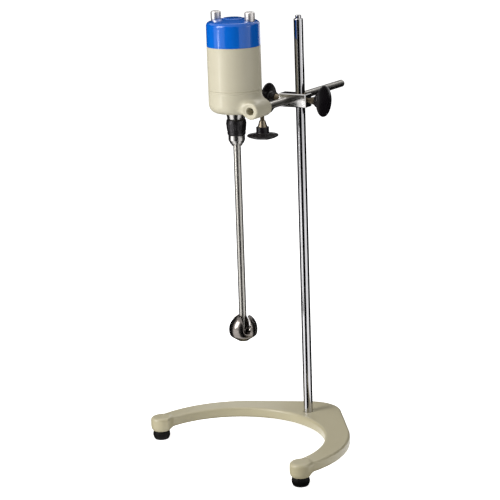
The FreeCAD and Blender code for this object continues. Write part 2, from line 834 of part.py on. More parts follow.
def make_stator():
    """A laminated ring with two windows for the field coils and two holes for the tie bolts."""
    body = motor_body("stator_core")
    low, high = core_bottom, core_bottom + size("core_height")
    outer = wall_radius() - size("stator_gap")
    turned(body, rectangle(size("stator_bore"), low, outer, high))
    for side in (-1, 1):
        bore(body, size("bolt_radius") + size("bolt_clearance"), low - 1, high + 1,
            (side * size("bolt_circle"), 0, 0))
    half, reach = size("coil_width") / 2, size("stator_bore") + size("coil_depth")
    drawing = new_sketch(body, "XY_Plane", (0, 0, high + 1))
    draw_loop(drawing, rectangle(-half, -reach, half, reach))
    sunk(body, drawing, size("core_height") + 2)
    coils = []
    for side in (-1, 1):
        coil = doc.addObject("PartDesign::Body", "field_coil")
        near = (size("armature_radius") + size("coil_gap")) * side
        far = (reach - size("stator_gap")) * side
        drawing = new_sketch(coil, "XY_Plane", (0, 0, low - size("coil_overhang")))
        across = half - size("stator_gap")
        pair = (near, far) if side > 0 else (far, near)
        draw_loop(drawing, rectangle(-across, pair[0], across, pair[1]))
        raised(coil, drawing, size("core_height") + 2 * size("coil_overhang"))
        edged(coil, size("winding_rounding") / 2,
            lambda edge: abs(edge.BoundBox.ZMax - edge.BoundBox.ZMin) > 1)
        coils.append(coil)
    motor_group(coils, "field_coils")


def make_rotor():
    """The spindle with its slotted iron core, the end turns of its winding and the commutator."""
    low, high = core_bottom, core_bottom + size("core_height")
    thick, thin = size("spindle_core_radius"), size("spindle_radius")
    body = motor_body("spindle")
    lower_shoulder = lower_bearing + size("bearing_width") + size("shoulder_gap")
    upper_shoulder = upper_bearing - size("shoulder_gap")
    bevel, top = size("spindle_chamfer"), upper_bearing + size("bearing_width") - size("shoulder_gap")
    turned(body, [(0, spindle_bottom), (thin - bevel, spindle_bottom), (thin, spindle_bottom + bevel),
                  (thin, lower_shoulder), (thick, lower_shoulder), (thick, upper_shoulder),
                  (thin, upper_shoulder),
                  (thin, top), (0, top)])
    fit = size("seat_clearance")
    core = motor_body("armature_core")
    turned(core, rectangle(thick + fit, low, size("armature_radius"), high))
    drawing = new_sketch(core, "XY_Plane", (0, 0, high + 1))
    half = size("armature_slot_width") / 2
    draw_loop(drawing, rectangle(size("armature_radius") - size("armature_slot_depth"), -half,
                                 size("armature_radius") + 2, half))
    slot = sunk(core, drawing, size("core_height") + 2)
    repeated(core, slot, 12)
    ends = []
    soft, inner, outer = size("winding_rounding"), size("winding_inner"), size("winding_radius")
    for start, sign in ((high, 1), (low, -1)):
        bundle = doc.addObject("PartDesign::Body", "end_turns")
        far = start + sign * size("winding_height")
        arc = (outer - soft, far - sign * soft, soft, sign > 0)
        turned(bundle, [(inner, start), (outer, start), (outer, far - sign * soft, arc), (outer - soft, far),
            (inner, far)])
        ends.append(bundle)
    motor_group(ends, "armature_winding")
    ring = motor_body("commutator")
    start = high + size("winding_height") + size("commutator_rise")
    turned(ring, rectangle(thick + fit, start, size("commutator_radius"), start + size("commutator_height")))


def make_brushes():
    """Two carbon brushes in square tubes, one each side of the commutator."""
    middle = (core_bottom + size("core_height") + size("winding_height") + size("commutator_rise")
              + size("commutator_height") / 2)
    half, deep = size("brush_width") / 2, size("brush_depth") / 2
    near = size("commutator_radius") + size("brush_gap")
    brushes, holders = [], []
    slack, wall = size("holder_clearance"), size("holder_wall")
    across = (half + wall) * (half + wall) / wall_radius()
    for side in (-1, 1):
        brush = doc.addObject("PartDesign::Body", "brush")
        start, end = side * near, side * (near + size("brush_length"))
        drawing = new_sketch(brush, "XZ_Plane", (0, end if side > 0 else start, middle))
        draw_loop(drawing, rectangle(-half, -deep, half, deep))
        raised(brush, drawing, size("brush_length"))
        brushes.append(brush)
        holder = doc.addObject("PartDesign::Body", "brush_holder")
        open_end, wall_end = near + size("holder_start"), wall_radius() - size("holder_end_gap") - across
        first, last = side * open_end, side * wall_end
        length = wall_end - open_end
        drawing = new_sketch(holder, "XZ_Plane", (0, last if side > 0 else first, middle))
        draw_loop(drawing, rectangle(-half - wall, -deep - wall, half + wall, deep + wall))
        draw_loop(drawing, rectangle(-half - slack, -deep - slack, half + slack, deep + slack))
        raised(holder, drawing, length)
        holders.append(holder)
    motor_group(brushes, "brushes")
    motor_group(holders, "brush_holders")


def make_grommet():
    """A rubber bush in the lower housing's wall, on the side away from the stand, where the lead goes in."""
    body = motor_body("cable_grommet")
    outer, inner = -size("motor_radius"), -wall_radius()
    flange, thick, neck = size("grommet_flange"), size("grommet_thickness"), size("grommet_radius") - size("running_gap")
    hole, edge, clear = size("grommet_bore"), size("grommet_edge"), size("hole_spare")
    turned(body, [(outer - thick, hole), (outer - thick, flange - edge), (outer - thick + edge, flange),
                  (outer - clear, flange), (outer - clear, neck), (inner, neck), (inner, hole)],
           (0, 0, grommet_height()), "XZ_Plane", "H_Axis")


def make_chuck():
    """A three-jaw chuck: a steel body pressed on the spindle, a sleeve that turns on it and three jaws in
    slanting holes."""
    body = motor_body("chuck_body")
    core, gap = size("sleeve_bore") - size("running_gap"), size("screw_tip_gap")
    nose, tip, slope = size("chuck_nose_radius"), size("chuck_nose_tip"), size("chuck_nose_slope")
    shaft_hole, spindle_hole = size("chuck_bore"), size("spindle_radius") + size("seat_clearance")
    step = spindle_bottom - size("shoulder_gap")
    turned(body, [
        (shaft_hole, nose_bottom), (tip, nose_bottom), (nose, nose_bottom + slope),
        (nose, sleeve_bottom - gap),
        (core, sleeve_bottom - gap), (core, sleeve_top), (size("chuck_hub_radius"), sleeve_top),
        (size("chuck_hub_top_radius"), chuck_top), (spindle_hole, chuck_top), (spindle_hole, step),
        (shaft_hole, step)])
    hole_low = nose_bottom - size("jaw_stand_out") - 1
    hole_length = size("jaw_length") + size("jaw_travel") + 2
    tilt, jaw = size("jaw_tilt_angle"), size("jaw_radius")
    foot = (size("jaw_circle"), 0, hole_low)
    cut = bore(body, jaw + size("running_gap"), 0, hole_length, foot, tilt=-tilt)
    repeated(body, cut, sizes["jaw_count"])
    make_chuck_sleeve()
    for number in range(sizes["jaw_count"]):
        piece = motor_body("chuck_jaw_%d" % (number + 1), number * (as_size(360) / size("jaw_count")))
        start = nose_bottom - size("jaw_stand_out")
        shift = (start - hole_low) * tangent(tilt)
        turned(piece, rectangle(0, 0, jaw, size("jaw_length")), (size("jaw_circle") + shift, 0, start),
            tilt=-tilt)
        face = size("shaft_radius") + size("jaw_gap")
        drawing = new_sketch(piece, "XY_Plane", (0, 0, start - 2))
        draw_loop(drawing, rectangle(0, -jaw - 1, face, jaw + 1))
        sunk(piece, drawing, size("jaw_length") + 4, reverse=True)


def make_chuck_sleeve():
    """A barrel that swells towards its top, with one groove near its lower edge."""
    sleeve = motor_body("chuck_sleeve")
    hole, low, high = size("sleeve_bore"), sleeve_bottom, sleeve_top - size("screw_tip_gap")
    wide, belly, lip = size("sleeve_bottom_radius"), size("sleeve_belly_radius"), size("sleeve_top_radius")
    length, groove = size("sleeve_length"), size("sleeve_groove")
    turned(sleeve, [
        (hole, low), (wide - groove, low), (wide, low + groove), (wide, low + length * 0.19),
        (wide - groove, low + length * 0.21), (wide - groove, low + length * 0.25),
        (wide + groove, low + length * 0.27),
        (belly, low + length * 0.72), (lip, low + length * 0.9), (lip - 2 * groove, high), (hole, high)])


def make_stirring_shaft():
    body = motor_body("stirring_shaft")
    radius, bevel = size("shaft_radius"), size("shaft_chamfer")
    low, high = shaft_top - size("shaft_length"), shaft_top
    turned(body, [(0, low), (radius - bevel, low), (radius, low + bevel), (radius, high - bevel),
                  (radius - bevel, high), (0, high)])


def arc_through(first, middle, last):
    """Centre and radius of the circle through three points, each worked out from the sizes."""
    ax, ay = first
    bx, by = middle
    cx, cy = last
    double = 2 * (ax * (by - cy) + bx * (cy - ay) + cx * (ay - by))
    a, b, c = ax * ax + ay * ay, bx * bx + by * by, cx * cx + cy * cy
    x = (a * (by - cy) + b * (cy - ay) + c * (ay - by)) / double
    y = (a * (cx - bx) + b * (ax - cx) + c * (bx - ax)) / double
    return x, y, root((ax - x) * (ax - x) + (ay - y) * (ay - y))


def make_impeller():
    """A closed impeller: a shallow cone opens into a round bowl with a hub on its floor. The wall curls back in
    towards the shaft and is cut from the throat down into three broad petals."""
    turn = size("impeller_turn_angle")
    body = motor_body("impeller", turn)
    bottom, wall = impeller_bottom, size("impeller_wall")
    flare, flare_top = size("impeller_flare_radius"), bottom + size("impeller_flare_rise")
    throat, top = size("impeller_throat"), bottom + size("impeller_height")
    hub, hub_top = size("impeller_hub_radius"), bottom + size("impeller_hub_rise")
    hole, floor = size("shaft_radius") + size("seat_clearance"), bottom + size("impeller_floor")
    x, y, radius = arc_through((flare, flare_top),
        (size("impeller_radius"), bottom + size("impeller_middle_rise")),
                               (throat, top))
    inside = radius - wall
    lip_x, lip_y = x + (throat - x) * (inside / radius), y + (top - y) * (inside / radius)
    inner_low = x + root(inside * inside - (floor - y) * (floor - y))
    turned(body, [
        (hole, bottom), (size("impeller_base_radius"), bottom), (flare, flare_top, (x, y, radius, True)),
        (throat, top), (lip_x, lip_y, (x, y, inside, False)), (inner_low, floor), (hub, floor),
        (hub, hub_top),
        (hole, hub_top)])
    half, slot_low = size("impeller_slot_width") / 2, bottom + size("impeller_slot_rise")
    drawing = new_sketch(body, "XZ_Plane", (0, 0, 0))
    round_end = (0, slot_low + half, half, True)
    draw_loop(drawing, [
        (-half, top + wall), (-half, slot_low + half, round_end), (0, slot_low, round_end),
        (half, slot_low + half),
        (half, top + wall)])
    slot = sunk(body, drawing, 2 * size("impeller_radius"), reverse=True)
    repeated(body, slot, sizes["impeller_slots"])
    grub = size("set_screw_radius")
    height = bottom + size("set_screw_rise")
    bore(body, grub + size("seat_clearance"), hole - wall / 4, 2 * size("impeller_radius"), (0, 0, height),
         "YZ_Plane", "H_Axis")
    screw = motor_body("impeller_screw", turn)
    tip, end = size("shaft_radius") + size("seat_clearance") + size("running_gap"), hub - size("running_gap")
    turned(screw, [(tip, 0), (tip, grub * 0.6), (tip + grub * 0.4, grub), (end, grub), (end, 0)],
        (0, 0, height),
           "YZ_Plane", "H_Axis")


def check_pieces():
    """Every feature has to be sound and every cut has to take something away."""
    doc.recompute()
    for thing in doc.Objects:
        if "Invalid" in thing.State or "Error" in thing.State:
            raise RuntimeError("%s (%s) failed: %s" % (thing.Name, thing.Label, thing.State))
    for feature, before in cuts:
        if feature.Shape.Volume >= before.Shape.Volume - 0.01:
            raise RuntimeError("%s cuts nothing" % feature.Name)
    for piece in pieces:
        if piece.Shape.isNull() or not piece.Shape.isValid() or not piece.Shape.Solids:
            raise RuntimeError("%s has no sound solid" % piece.Label)


def write_pieces():
    os.makedirs("parts", exist_ok=True)
    for piece in pieces:
        piece.Shape.exportStep(os.path.join("parts", piece.Label + ".step"))
        print("%-22s solids %d  volume %.1f" % (piece.Label, len(piece.Shape.Solids), piece.Shape.Volume))


make_base()
make_feet()
make_foot_studs()
make_stand_rod()
make_rod_fixings()
make_clamp()
make_cross_rod()
make_lower_housing()
make_motor_shell()
make_top_cap()
make_tie_bolts()
make_bearings()
make_stator()
make_rotor()
make_brushes()
make_grommet()
make_chuck()
make_stirring_shaft()
make_impeller()
check_pieces()
write_pieces()
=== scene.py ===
import math

import bpy
import numpy as np
from mathutils import Matrix, Vector


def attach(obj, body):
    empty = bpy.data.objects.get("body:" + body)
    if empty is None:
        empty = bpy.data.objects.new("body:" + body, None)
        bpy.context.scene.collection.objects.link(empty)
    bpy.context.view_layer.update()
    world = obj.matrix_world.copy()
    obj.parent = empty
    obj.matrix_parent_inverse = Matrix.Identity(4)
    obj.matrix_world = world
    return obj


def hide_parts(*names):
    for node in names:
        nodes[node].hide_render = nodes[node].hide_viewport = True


# Laboratory stirrer, dressed for a studio picture.
# Shapes are worked out in millimetres and scaled to metres when they become meshes.

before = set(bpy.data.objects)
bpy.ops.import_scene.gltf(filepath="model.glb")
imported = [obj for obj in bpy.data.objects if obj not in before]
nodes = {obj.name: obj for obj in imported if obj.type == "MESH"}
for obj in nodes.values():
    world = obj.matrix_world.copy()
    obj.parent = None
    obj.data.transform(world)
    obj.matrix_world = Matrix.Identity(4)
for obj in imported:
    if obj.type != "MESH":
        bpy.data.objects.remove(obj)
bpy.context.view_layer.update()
mm = 0.001

# The arm is swung about the stand rod: side points along the clamp bar, back along the cross rod.
arm = {"swing": 15.6, "height": 463.7, "crossOffset": -16.0, "motorSide": -53.0, "motorBack": -78.0}
swing = math.radians(arm["swing"])
side = np.array([math.cos(swing), math.sin(swing), 0.0])
back = np.array([-math.sin(swing), math.cos(swing), 0.0])
up = np.array([0.0, 0.0, 1.0])


def armPoint(across, along, height):  # a place given in the arm's own directions
    return side * across + back * along + up * height


motorFoot = armPoint(arm["motorSide"], arm["motorBack"], 0.0)
print("frame loaded:", len(nodes), "nodes")


def finishMesh(name, points, faces, sharpAngle=34.0, normals=None):
    mesh = bpy.data.meshes.new(name)
    mesh.from_pydata((np.asarray(points) * mm).tolist(), [], faces)
    mesh.validate()
    mesh.polygons.foreach_set("use_smooth", np.ones(len(mesh.polygons), dtype=bool))
    if normals is not None:
        mesh.normals_split_custom_set_from_vertices(normals.tolist())
    else:
        mesh.set_sharp_from_angle(angle=math.radians(sharpAngle))
    piece = bpy.data.objects.new(name, mesh)
    bpy.context.scene.collection.objects.link(piece)
    return piece


def gridFaces(rows, columns, closeRows, closeColumns):
    # quads between neighbours of a rows x columns grid, wrapped round where a direction closes
    rowCount = rows if closeRows else rows - 1
    columnCount = columns if closeColumns else columns - 1
    r, c = np.meshgrid(np.arange(rowCount), np.arange(columnCount), indexing="ij")
    nextR, nextC = (r + 1) % rows, (c + 1) % columns
    here, there = r * columns, nextR * columns
    return np.stack([here + c, here + nextC, there + nextC, there + c], axis=-1).reshape(-1, 4)


def softPath(corners, steps=7):
    # corners are (radius, height) or (radius, height, rounding): each rounded corner becomes an arc
    path = []
    count = len(corners)
    for k, corner in enumerate(corners):
        here = np.array(corner[:2], dtype=float)
        rounding = corner[2] if len(corner) == 3 else 0.0
        if rounding <= 0 or k == 0 or k == count - 1:
            path.append(here[None])
            continue
        before = np.array(corners[k - 1][:2], dtype=float) - here
        after = np.array(corners[(k + 1) % count][:2], dtype=float) - here
        before /= np.linalg.norm(before)
        after /= np.linalg.norm(after)
        half = math.acos(float(np.clip(before @ after, -1, 1))) / 2
        reach = rounding / math.tan(half)
        centre = here + (before + after) / np.linalg.norm(before + after) * rounding / math.sin(half)
        start, end = here + before * reach - centre, here + after * reach - centre
        low = math.atan2(start[1], start[0])
        turn = (math.atan2(end[1], end[0]) - low + math.pi) % (2 * math.pi) - math.pi
        angles = low + turn * np.linspace(0, 1, steps)
        path.append(centre + rounding * np.stack([np.cos(angles), np.sin(angles)], axis=1))
    return np.concatenate(path)


def turnedPiece(name, corners, foot=(0, 0, 0), axis=(0, 0, 1), columns=96, closed=False, ripple=None):
    # a profile of radius and height carried round an axis; ripple adds to the radius at each angle and height
    path = softPath(corners)
    foot, axis = np.asarray(foot, dtype=float), np.asarray(axis, dtype=float)
    first = np.cross(axis, up) if abs(axis[2]) < 0.9 else np.array([1.0, 0.0, 0.0])
    first = first / np.linalg.norm(first)
    second = np.cross(axis, first)
    ring = path if closed else path[1:-1]
    angle = np.linspace(0, 2 * math.pi, columns, endpoint=False)
    radius = np.repeat(ring[:, :1], columns, axis=1)
    height = np.repeat(ring[:, 1:2], columns, axis=1)
    if ripple is not None:
        radius = radius + ripple(np.broadcast_to(angle, radius.shape), height, radius)
    outward = np.cos(angle)[:, None] * first + np.sin(angle)[:, None] * second
    points = (foot + radius[..., None] * outward + height[..., None] * axis).reshape(-1, 3)
    faces = gridFaces(len(ring), columns, closed, True).tolist()
    if not closed:
        low, high = len(points), len(points) + 1
        points = np.concatenate([points, [foot + axis * path[0, 1], foot + axis * path[-1, 1]]])
        last = (len(ring) - 1) * columns
        k = np.arange(columns)
        following = (k + 1) % columns
        faces += np.stack([np.full(columns, low), following, k], axis=1).tolist()
        faces += np.stack([np.full(columns, high), last + k, last + following], axis=1).tolist()
    return finishMesh(name, points, faces)


def slope(field, points, reach=0.02):
    # which way the field grows fastest, by central differences
    result = np.empty_like(points)
    for k in range(3):
        offset = np.zeros(3)
        offset[k] = reach
        ahead, behind = points + offset, points - offset
        result[:, k] = (field(*ahead.T) - field(*behind.T)) / (2 * reach)
    return result


def castPiece(name, field, low, high, step):
    # the surface where field(x, y, z) is zero: one point in each grid cell that it crosses, joined across
    # every grid edge that it cuts, then slid down the field's slope onto the exact surface
    low, high = np.asarray(low, dtype=float), np.asarray(high, dtype=float)
    count = np.ceil((high - low) / step).astype(int) + 1
    lines = [low[k] + step * np.arange(count[k]) for k in range(3)]
    values = field(*np.meshgrid(*lines, indexing="ij"))
    inside = values < 0
    cells = tuple(count - 1)
    total = np.zeros(cells, dtype=int)
    for dx in (0, 1):
        for dy in (0, 1):
            for dz in (0, 1):
                total += inside[dx:dx + cells[0], dy:dy + cells[1], dz:dz + cells[2]]
    mixed = (total > 0) & (total < 8)
    number = np.full(cells, -1)
    number[mixed] = np.arange(int(mixed.sum()))
    points = low + (np.argwhere(mixed) + 0.5) * step
    quads = []
    for along in range(3):
        ahead = np.roll(inside, -1, axis=along)
        crossing = inside != ahead
        inner = [slice(1, -1)] * 3
        inner[along] = slice(0, -1)
        mask = np.zeros_like(crossing)
        mask[tuple(inner)] = crossing[tuple(inner)]
        place = np.argwhere(mask)
        outward = inside[tuple(place.T)]
        b, c = (along + 1) % 3, (along + 2) % 3
        around = []
        for stepB, stepC in ((1, 1), (0, 1), (0, 0), (1, 0)):
            cell = place.copy()
            cell[:, b] -= stepB
            cell[:, c] -= stepC
            around.append(number[tuple(cell.T)])
        quad = np.stack(around, axis=1)
        quad[~outward] = quad[~outward][:, ::-1]
        quads.append(quad)
    for _ in range(6):  # six short steps are enough for a point to settle
        way = slope(field, points)
        size = np.maximum((way * way).sum(axis=1, keepdims=True), 0.05)
        move = field(*points.T)[:, None] * way / size
        points = points - np.clip(move, -step, step) * 0.9
    normals = slope(field, points, 0.05)
    normals /= np.maximum(np.linalg.norm(normals, axis=1, keepdims=True), 1e-9)
    return finishMesh(name, points, np.concatenate(quads).tolist(), normals=normals)


def softJoin(a, b, blend):  # union of two fields with a fillet of about the blend's size
    h = np.maximum(blend - np.abs(a - b), 0) / blend
    return np.minimum(a, b) - h * h * blend * 0.25


def softCut(a, b, blend):  # a with b taken away, its edge rounded
    return -softJoin(-a, b, blend)


def roundedBlock(a, b, rounding):  # where both a and b are below zero, with a rounded outer edge
    inner = np.minimum(np.maximum(a, b) + rounding, 0)
    return inner + np.hypot(np.maximum(a + rounding, 0), np.maximum(b + rounding, 0)) - rounding


def armCoordinates(x, y):  # how far a point lies from the motor's axis along side and back
    dx, dy = x - motorFoot[0], y - motorFoot[1]
    return dx * side[0] + dy * side[1], dx * back[0] + dy * back[1]


def dress(piece, finish, slot, body, *hidden):
    piece.data.materials.append(finish)
    if hidden:
        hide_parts(*hidden)
    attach(piece, body)


def newGroup(name, inputs):  # a group that gives the colour, roughness and normal of a surface
    group = bpy.data.node_groups.new(name, "ShaderNodeTree")
    for label, kind, value in inputs:
        socket = group.interface.new_socket(label, in_out="INPUT", socket_type=kind)
        socket.default_value = value
    for label, kind in (("Colour", "Color"), ("Roughness", "Float"), ("Normal", "Vector")):
        group.interface.new_socket(label, in_out="OUTPUT", socket_type="NodeSocket" + kind)
    return group, group.nodes.new("NodeGroupInput"), group.nodes.new("NodeGroupOutput")


def mathNode(tree, operation, a, b):
    node = tree.nodes.new("ShaderNodeMath")
    node.operation = operation
    for k, value in enumerate((a, b)):
        if isinstance(value, (int, float)):
            node.inputs[k].default_value = value
        else:
            tree.links.new(value, node.inputs[k])
    return node.outputs[0]


def colourMix(tree, factor, first, second):
    node = tree.nodes.new("ShaderNodeMix")
    node.data_type = "RGBA"
    tree.links.new(factor, node.inputs["Factor"])
    tree.links.new(first, node.inputs[6])
    tree.links.new(second, node.inputs[7])
    return node.outputs[2]


def bumpNode(tree, height, strength, distance):
    node = tree.nodes.new("ShaderNodeBump")
    node.inputs["Distance"].default_value = distance
    tree.links.new(strength, node.inputs["Strength"])
    tree.links.new(height, node.inputs["Height"])
    return node.outputs[0]


def noiseNode(tree, vector, scale, detail, rough):
    node = tree.nodes.new("ShaderNodeTexNoise")
    node.inputs["Detail"].default_value = detail
    node.inputs["Roughness"].default_value = rough
    if isinstance(scale, (int, float)):
        node.inputs["Scale"].default_value = scale
    else:
        tree.links.new(scale, node.inputs["Scale"])
    tree.links.new(vector, node.inputs["Vector"])
    return node.outputs["Fac"]


def makeCoatGroup():
    # sprayed paint: slow colour drift, a finer mottle, an orange-peel bump and settled dust on upward faces
    group, given, result = newGroup("sprayedCoat", [
        ("Colour", "NodeSocketColor", (0.5, 0.5, 0.5, 1)), ("Shade", "NodeSocketColor", (0.4, 0.4, 0.4, 1)),
        ("Dust", "NodeSocketColor", (0.6, 0.58, 0.54, 1)), ("Drift", "NodeSocketFloat", 14.0),
        ("Peel", "NodeSocketFloat", 900.0), ("PeelDepth", "NodeSocketFloat", 0.1),
        ("Gloss", "NodeSocketFloat", 0.3), ("DustAmount", "NodeSocketFloat", 0.2)])
    place = group.nodes.new("ShaderNodeTexCoord").outputs["Object"]
    drift = noiseNode(group, place, given.outputs["Drift"], 4.0, 0.6)
    paint = colourMix(group, drift, given.outputs["Colour"], given.outputs["Shade"])
    facing = group.nodes.new("ShaderNodeSeparateXYZ")
    group.links.new(group.nodes.new("ShaderNodeNewGeometry").outputs["Normal"], facing.inputs[0])
    speck = noiseNode(group, place, 420.0, 5.0, 0.7)
    lying = mathNode(group, "MULTIPLY", mathNode(group, "MAXIMUM", facing.outputs["Z"], 0.0), speck)
    dusty = mathNode(group, "MULTIPLY", lying, given.outputs["DustAmount"])
    group.links.new(colourMix(group, dusty, paint, given.outputs["Dust"]), result.inputs["Colour"])
    peel = noiseNode(group, place, given.outputs["Peel"], 2.0, 0.4)
    group.links.new(bumpNode(group, peel, given.outputs["PeelDepth"], 0.0004), result.inputs["Normal"])
    uneven = mathNode(group, "MULTIPLY", mathNode(group, "SUBTRACT", drift, 0.5), 0.16)
    rough = mathNode(group, "ADD", given.outputs["Gloss"], uneven)
    rough = mathNode(group, "ADD", rough, mathNode(group, "MULTIPLY", dusty, 0.5))
    group.links.new(rough, result.inputs["Roughness"])
    return group


def makeMetalGroup():
    # machined metal: fine hairlines drawn out along one direction, handling smears and a slow tint change
    group, given, result = newGroup("machinedMetal", [
        ("Colour", "NodeSocketColor", (0.6, 0.6, 0.6, 1)), ("Tint", "NodeSocketColor", (0.5, 0.5, 0.5, 1)),
        ("Stretch", "NodeSocketVector", (1.0, 1.0, 1.0)), ("LineScale", "NodeSocketFloat", 600.0),
        ("LineDepth", "NodeSocketFloat", 0.05), ("Gloss", "NodeSocketFloat", 0.15),
        ("Smear", "NodeSocketFloat", 0.1)])
    place = group.nodes.new("ShaderNodeTexCoord").outputs["Object"]
    drawn = group.nodes.new("ShaderNodeVectorMath")
    drawn.operation = "MULTIPLY"
    group.links.new(place, drawn.inputs[0])
    group.links.new(given.outputs["Stretch"], drawn.inputs[1])
    lines = noiseNode(group, drawn.outputs[0], given.outputs["LineScale"], 3.0, 0.6)
    cloud = noiseNode(group, place, 45.0, 4.0, 0.6)
    metal = colourMix(group, cloud, given.outputs["Colour"], given.outputs["Tint"])
    group.links.new(metal, result.inputs["Colour"])
    group.links.new(bumpNode(group, lines, given.outputs["LineDepth"], 0.0002), result.inputs["Normal"])
    smeared = mathNode(group, "MULTIPLY", cloud, given.outputs["Smear"])
    group.links.new(mathNode(group, "ADD", given.outputs["Gloss"], smeared), result.inputs["Roughness"])
    return group


coatGroup = makeCoatGroup()
metalGroup = makeMetalGroup()


def finish(name, group, values, metallic=0.0, coat=0.0, shine=0.5):
    # one material: the shared effect feeds colour, roughness and normal of its own shader
    material = bpy.data.materials.new(name)
    material.use_nodes = True
    tree = material.node_tree
    shader = tree.nodes["Principled BSDF"]
    effect = tree.nodes.new("ShaderNodeGroup")
    effect.node_tree = group
    for label, value in values.items():
        effect.inputs[label].default_value = value
    tree.links.new(effect.outputs["Colour"], shader.inputs["Base Color"])
    tree.links.new(effect.outputs["Roughness"], shader.inputs["Roughness"])
    tree.links.new(effect.outputs["Normal"], shader.inputs["Normal"])
    shader.inputs["Metallic"].default_value = metallic
    shader.inputs["Coat Weight"].default_value = coat
    shader.inputs["Coat Roughness"].default_value = 0.14
    shader.inputs["Specular IOR Level"].default_value = shine
    material.diffuse_color = effect.inputs["Colour"].default_value
    return material


def shade(r, g, b):  # picture values 0..255 to the linear colour a shader takes
    parts = [v / 255 for v in (r, g, b)]
    return tuple(v / 12.92 if v <= 0.04045 else ((v + 0.055) / 1.055) ** 2.4 for v in parts) + (1.0,)


housingPaint = finish("housingEnamel", coatGroup, {
    "Colour": shade(203, 197, 174), "Shade": shade(196, 189, 166), "Drift": 22.0, "Peel": 700.0,
    "PeelDepth": 0.08, "Gloss": 0.36, "DustAmount": 0.04}, coat=0.12, shine=0.3)
basePaint = finish("baseEnamel", coatGroup, {
    "Colour": shade(189, 180, 148), "Shade": shade(178, 169, 136), "Drift": 16.0, "Peel": 520.0,
    "PeelDepth": 0.16, "Gloss": 0.36, "DustAmount": 0.2}, coat=0.15)
capPaint = finish("capEnamel", coatGroup, {
    "Colour": shade(0, 104, 208), "Shade": shade(0, 92, 194), "Drift": 30.0, "Peel": 800.0, "PeelDepth": 0.03,
    "Gloss": 0.24, "DustAmount": 0.0}, coat=0.8, shine=0.1)
knobPlastic = finish("knobPlastic", coatGroup, {
    "Colour": shade(17, 14, 17), "Shade": shade(24, 20, 24), "Drift": 60.0, "Peel": 1100.0, "PeelDepth": 0.05,
    "Gloss": 0.25, "DustAmount": 0.03}, shine=0.18)
footRubber = finish("footRubber", coatGroup, {
    "Colour": shade(9, 8, 8), "Shade": shade(16, 15, 14), "Drift": 90.0, "Peel": 1500.0, "PeelDepth": 0.3,
    "Gloss": 0.5, "DustAmount": 0.03}, shine=0.08)
carbon = finish("brushCarbon", coatGroup, {
    "Colour": shade(34, 34, 35), "Shade": shade(46, 46, 47), "Drift": 200.0, "Peel": 2500.0, "PeelDepth": 0.3,
    "Gloss": 0.6, "DustAmount": 0.0})
rodChrome = finish("rodChrome", metalGroup, {
    "Colour": shade(190, 189, 190), "Tint": shade(176, 175, 178), "Stretch": (1.0, 1.0, 0.03),
    "LineScale": 900.0, "LineDepth": 0.03, "Gloss": 0.08, "Smear": 0.06}, metallic=1.0)
clampChrome = finish("clampChrome", metalGroup, {
    "Colour": shade(212, 210, 208), "Tint": shade(192, 190, 189), "LineScale": 500.0, "LineDepth": 0.05,
    "Gloss": 0.1, "Smear": 0.08}, metallic=1.0)
turnedSteel = finish("turnedSteel", metalGroup, {
    "Colour": shade(186, 184, 181), "Tint": shade(160, 157, 154), "Stretch": (0.1, 0.1, 1.0),
    "LineScale": 2600.0, "LineDepth": 0.12, "Gloss": 0.2, "Smear": 0.12}, metallic=1.0)
brightPlate = finish("brightPlate", metalGroup, {
    "Colour": shade(208, 204, 202), "Tint": shade(192, 188, 186), "LineScale": 700.0, "LineDepth": 0.06,
    "Gloss": 0.4, "Smear": 0.08}, metallic=1.0)
stainless = finish("polishedStainless", metalGroup, {
    "Colour": shade(176, 173, 167), "Tint": shade(156, 153, 147), "Stretch": (1.0, 1.0, 0.4),
    "LineScale": 700.0, "LineDepth": 0.06, "Gloss": 0.26, "Smear": 0.1}, metallic=1.0)
# a darker copy of the stainless for the impeller bowl: its colour is darkened as painted shade, standing in
# for the dark surroundings the bowl reflects
shadedStainless = finish("shadedStainless", metalGroup, {
    "Colour": shade(134, 128, 123), "Tint": shade(112, 106, 102), "LineScale": 600.0, "LineDepth": 0.06,
    "Gloss": 0.16, "Smear": 0.12}, metallic=1.0)
jawSteel = finish("jawSteel", metalGroup, {
    "Colour": shade(92, 88, 84), "Tint": shade(70, 66, 63), "LineScale": 900.0, "LineDepth": 0.1,
    "Gloss": 0.3, "Smear": 0.15}, metallic=1.0)
platedScrew = finish("platedScrew", metalGroup, {
    "Colour": shade(130, 121, 105), "Tint": shade(104, 93, 77), "LineScale": 1200.0, "LineDepth": 0.08,
    "Gloss": 0.32, "Smear": 0.15}, metallic=1.0)
blackedSteel = finish("blackedSteel", metalGroup, {
    "Colour": shade(48, 46, 48), "Tint": shade(36, 34, 36), "Stretch": (0.2, 0.2, 1.0), "LineScale": 1500.0,
    "LineDepth": 0.1, "Gloss": 0.22, "Smear": 0.14}, metallic=0.6)
corePlate = finish("corePlate", metalGroup, {
    "Colour": shade(120, 121, 124), "Tint": shade(96, 96, 99), "Stretch": (0.05, 0.05, 1.0),
    "LineScale": 2000.0, "LineDepth": 0.3, "Gloss": 0.4, "Smear": 0.1}, metallic=1.0)
copperWire = finish("copperWire", metalGroup, {
    "Colour": shade(176, 96, 60), "Tint": shade(146, 74, 44), "Stretch": (0.2, 0.2, 1.0), "LineScale": 1400.0,
    "LineDepth": 0.3, "Gloss": 0.3, "Smear": 0.1}, metallic=0.9)
brightBrass = finish("brightBrass", metalGroup, {
    "Colour": shade(200, 164, 96), "Tint": shade(176, 140, 78), "LineScale": 900.0, "LineDepth": 0.06,
    "Gloss": 0.25, "Smear": 0.1}, metallic=1.0)
print("finishes made")

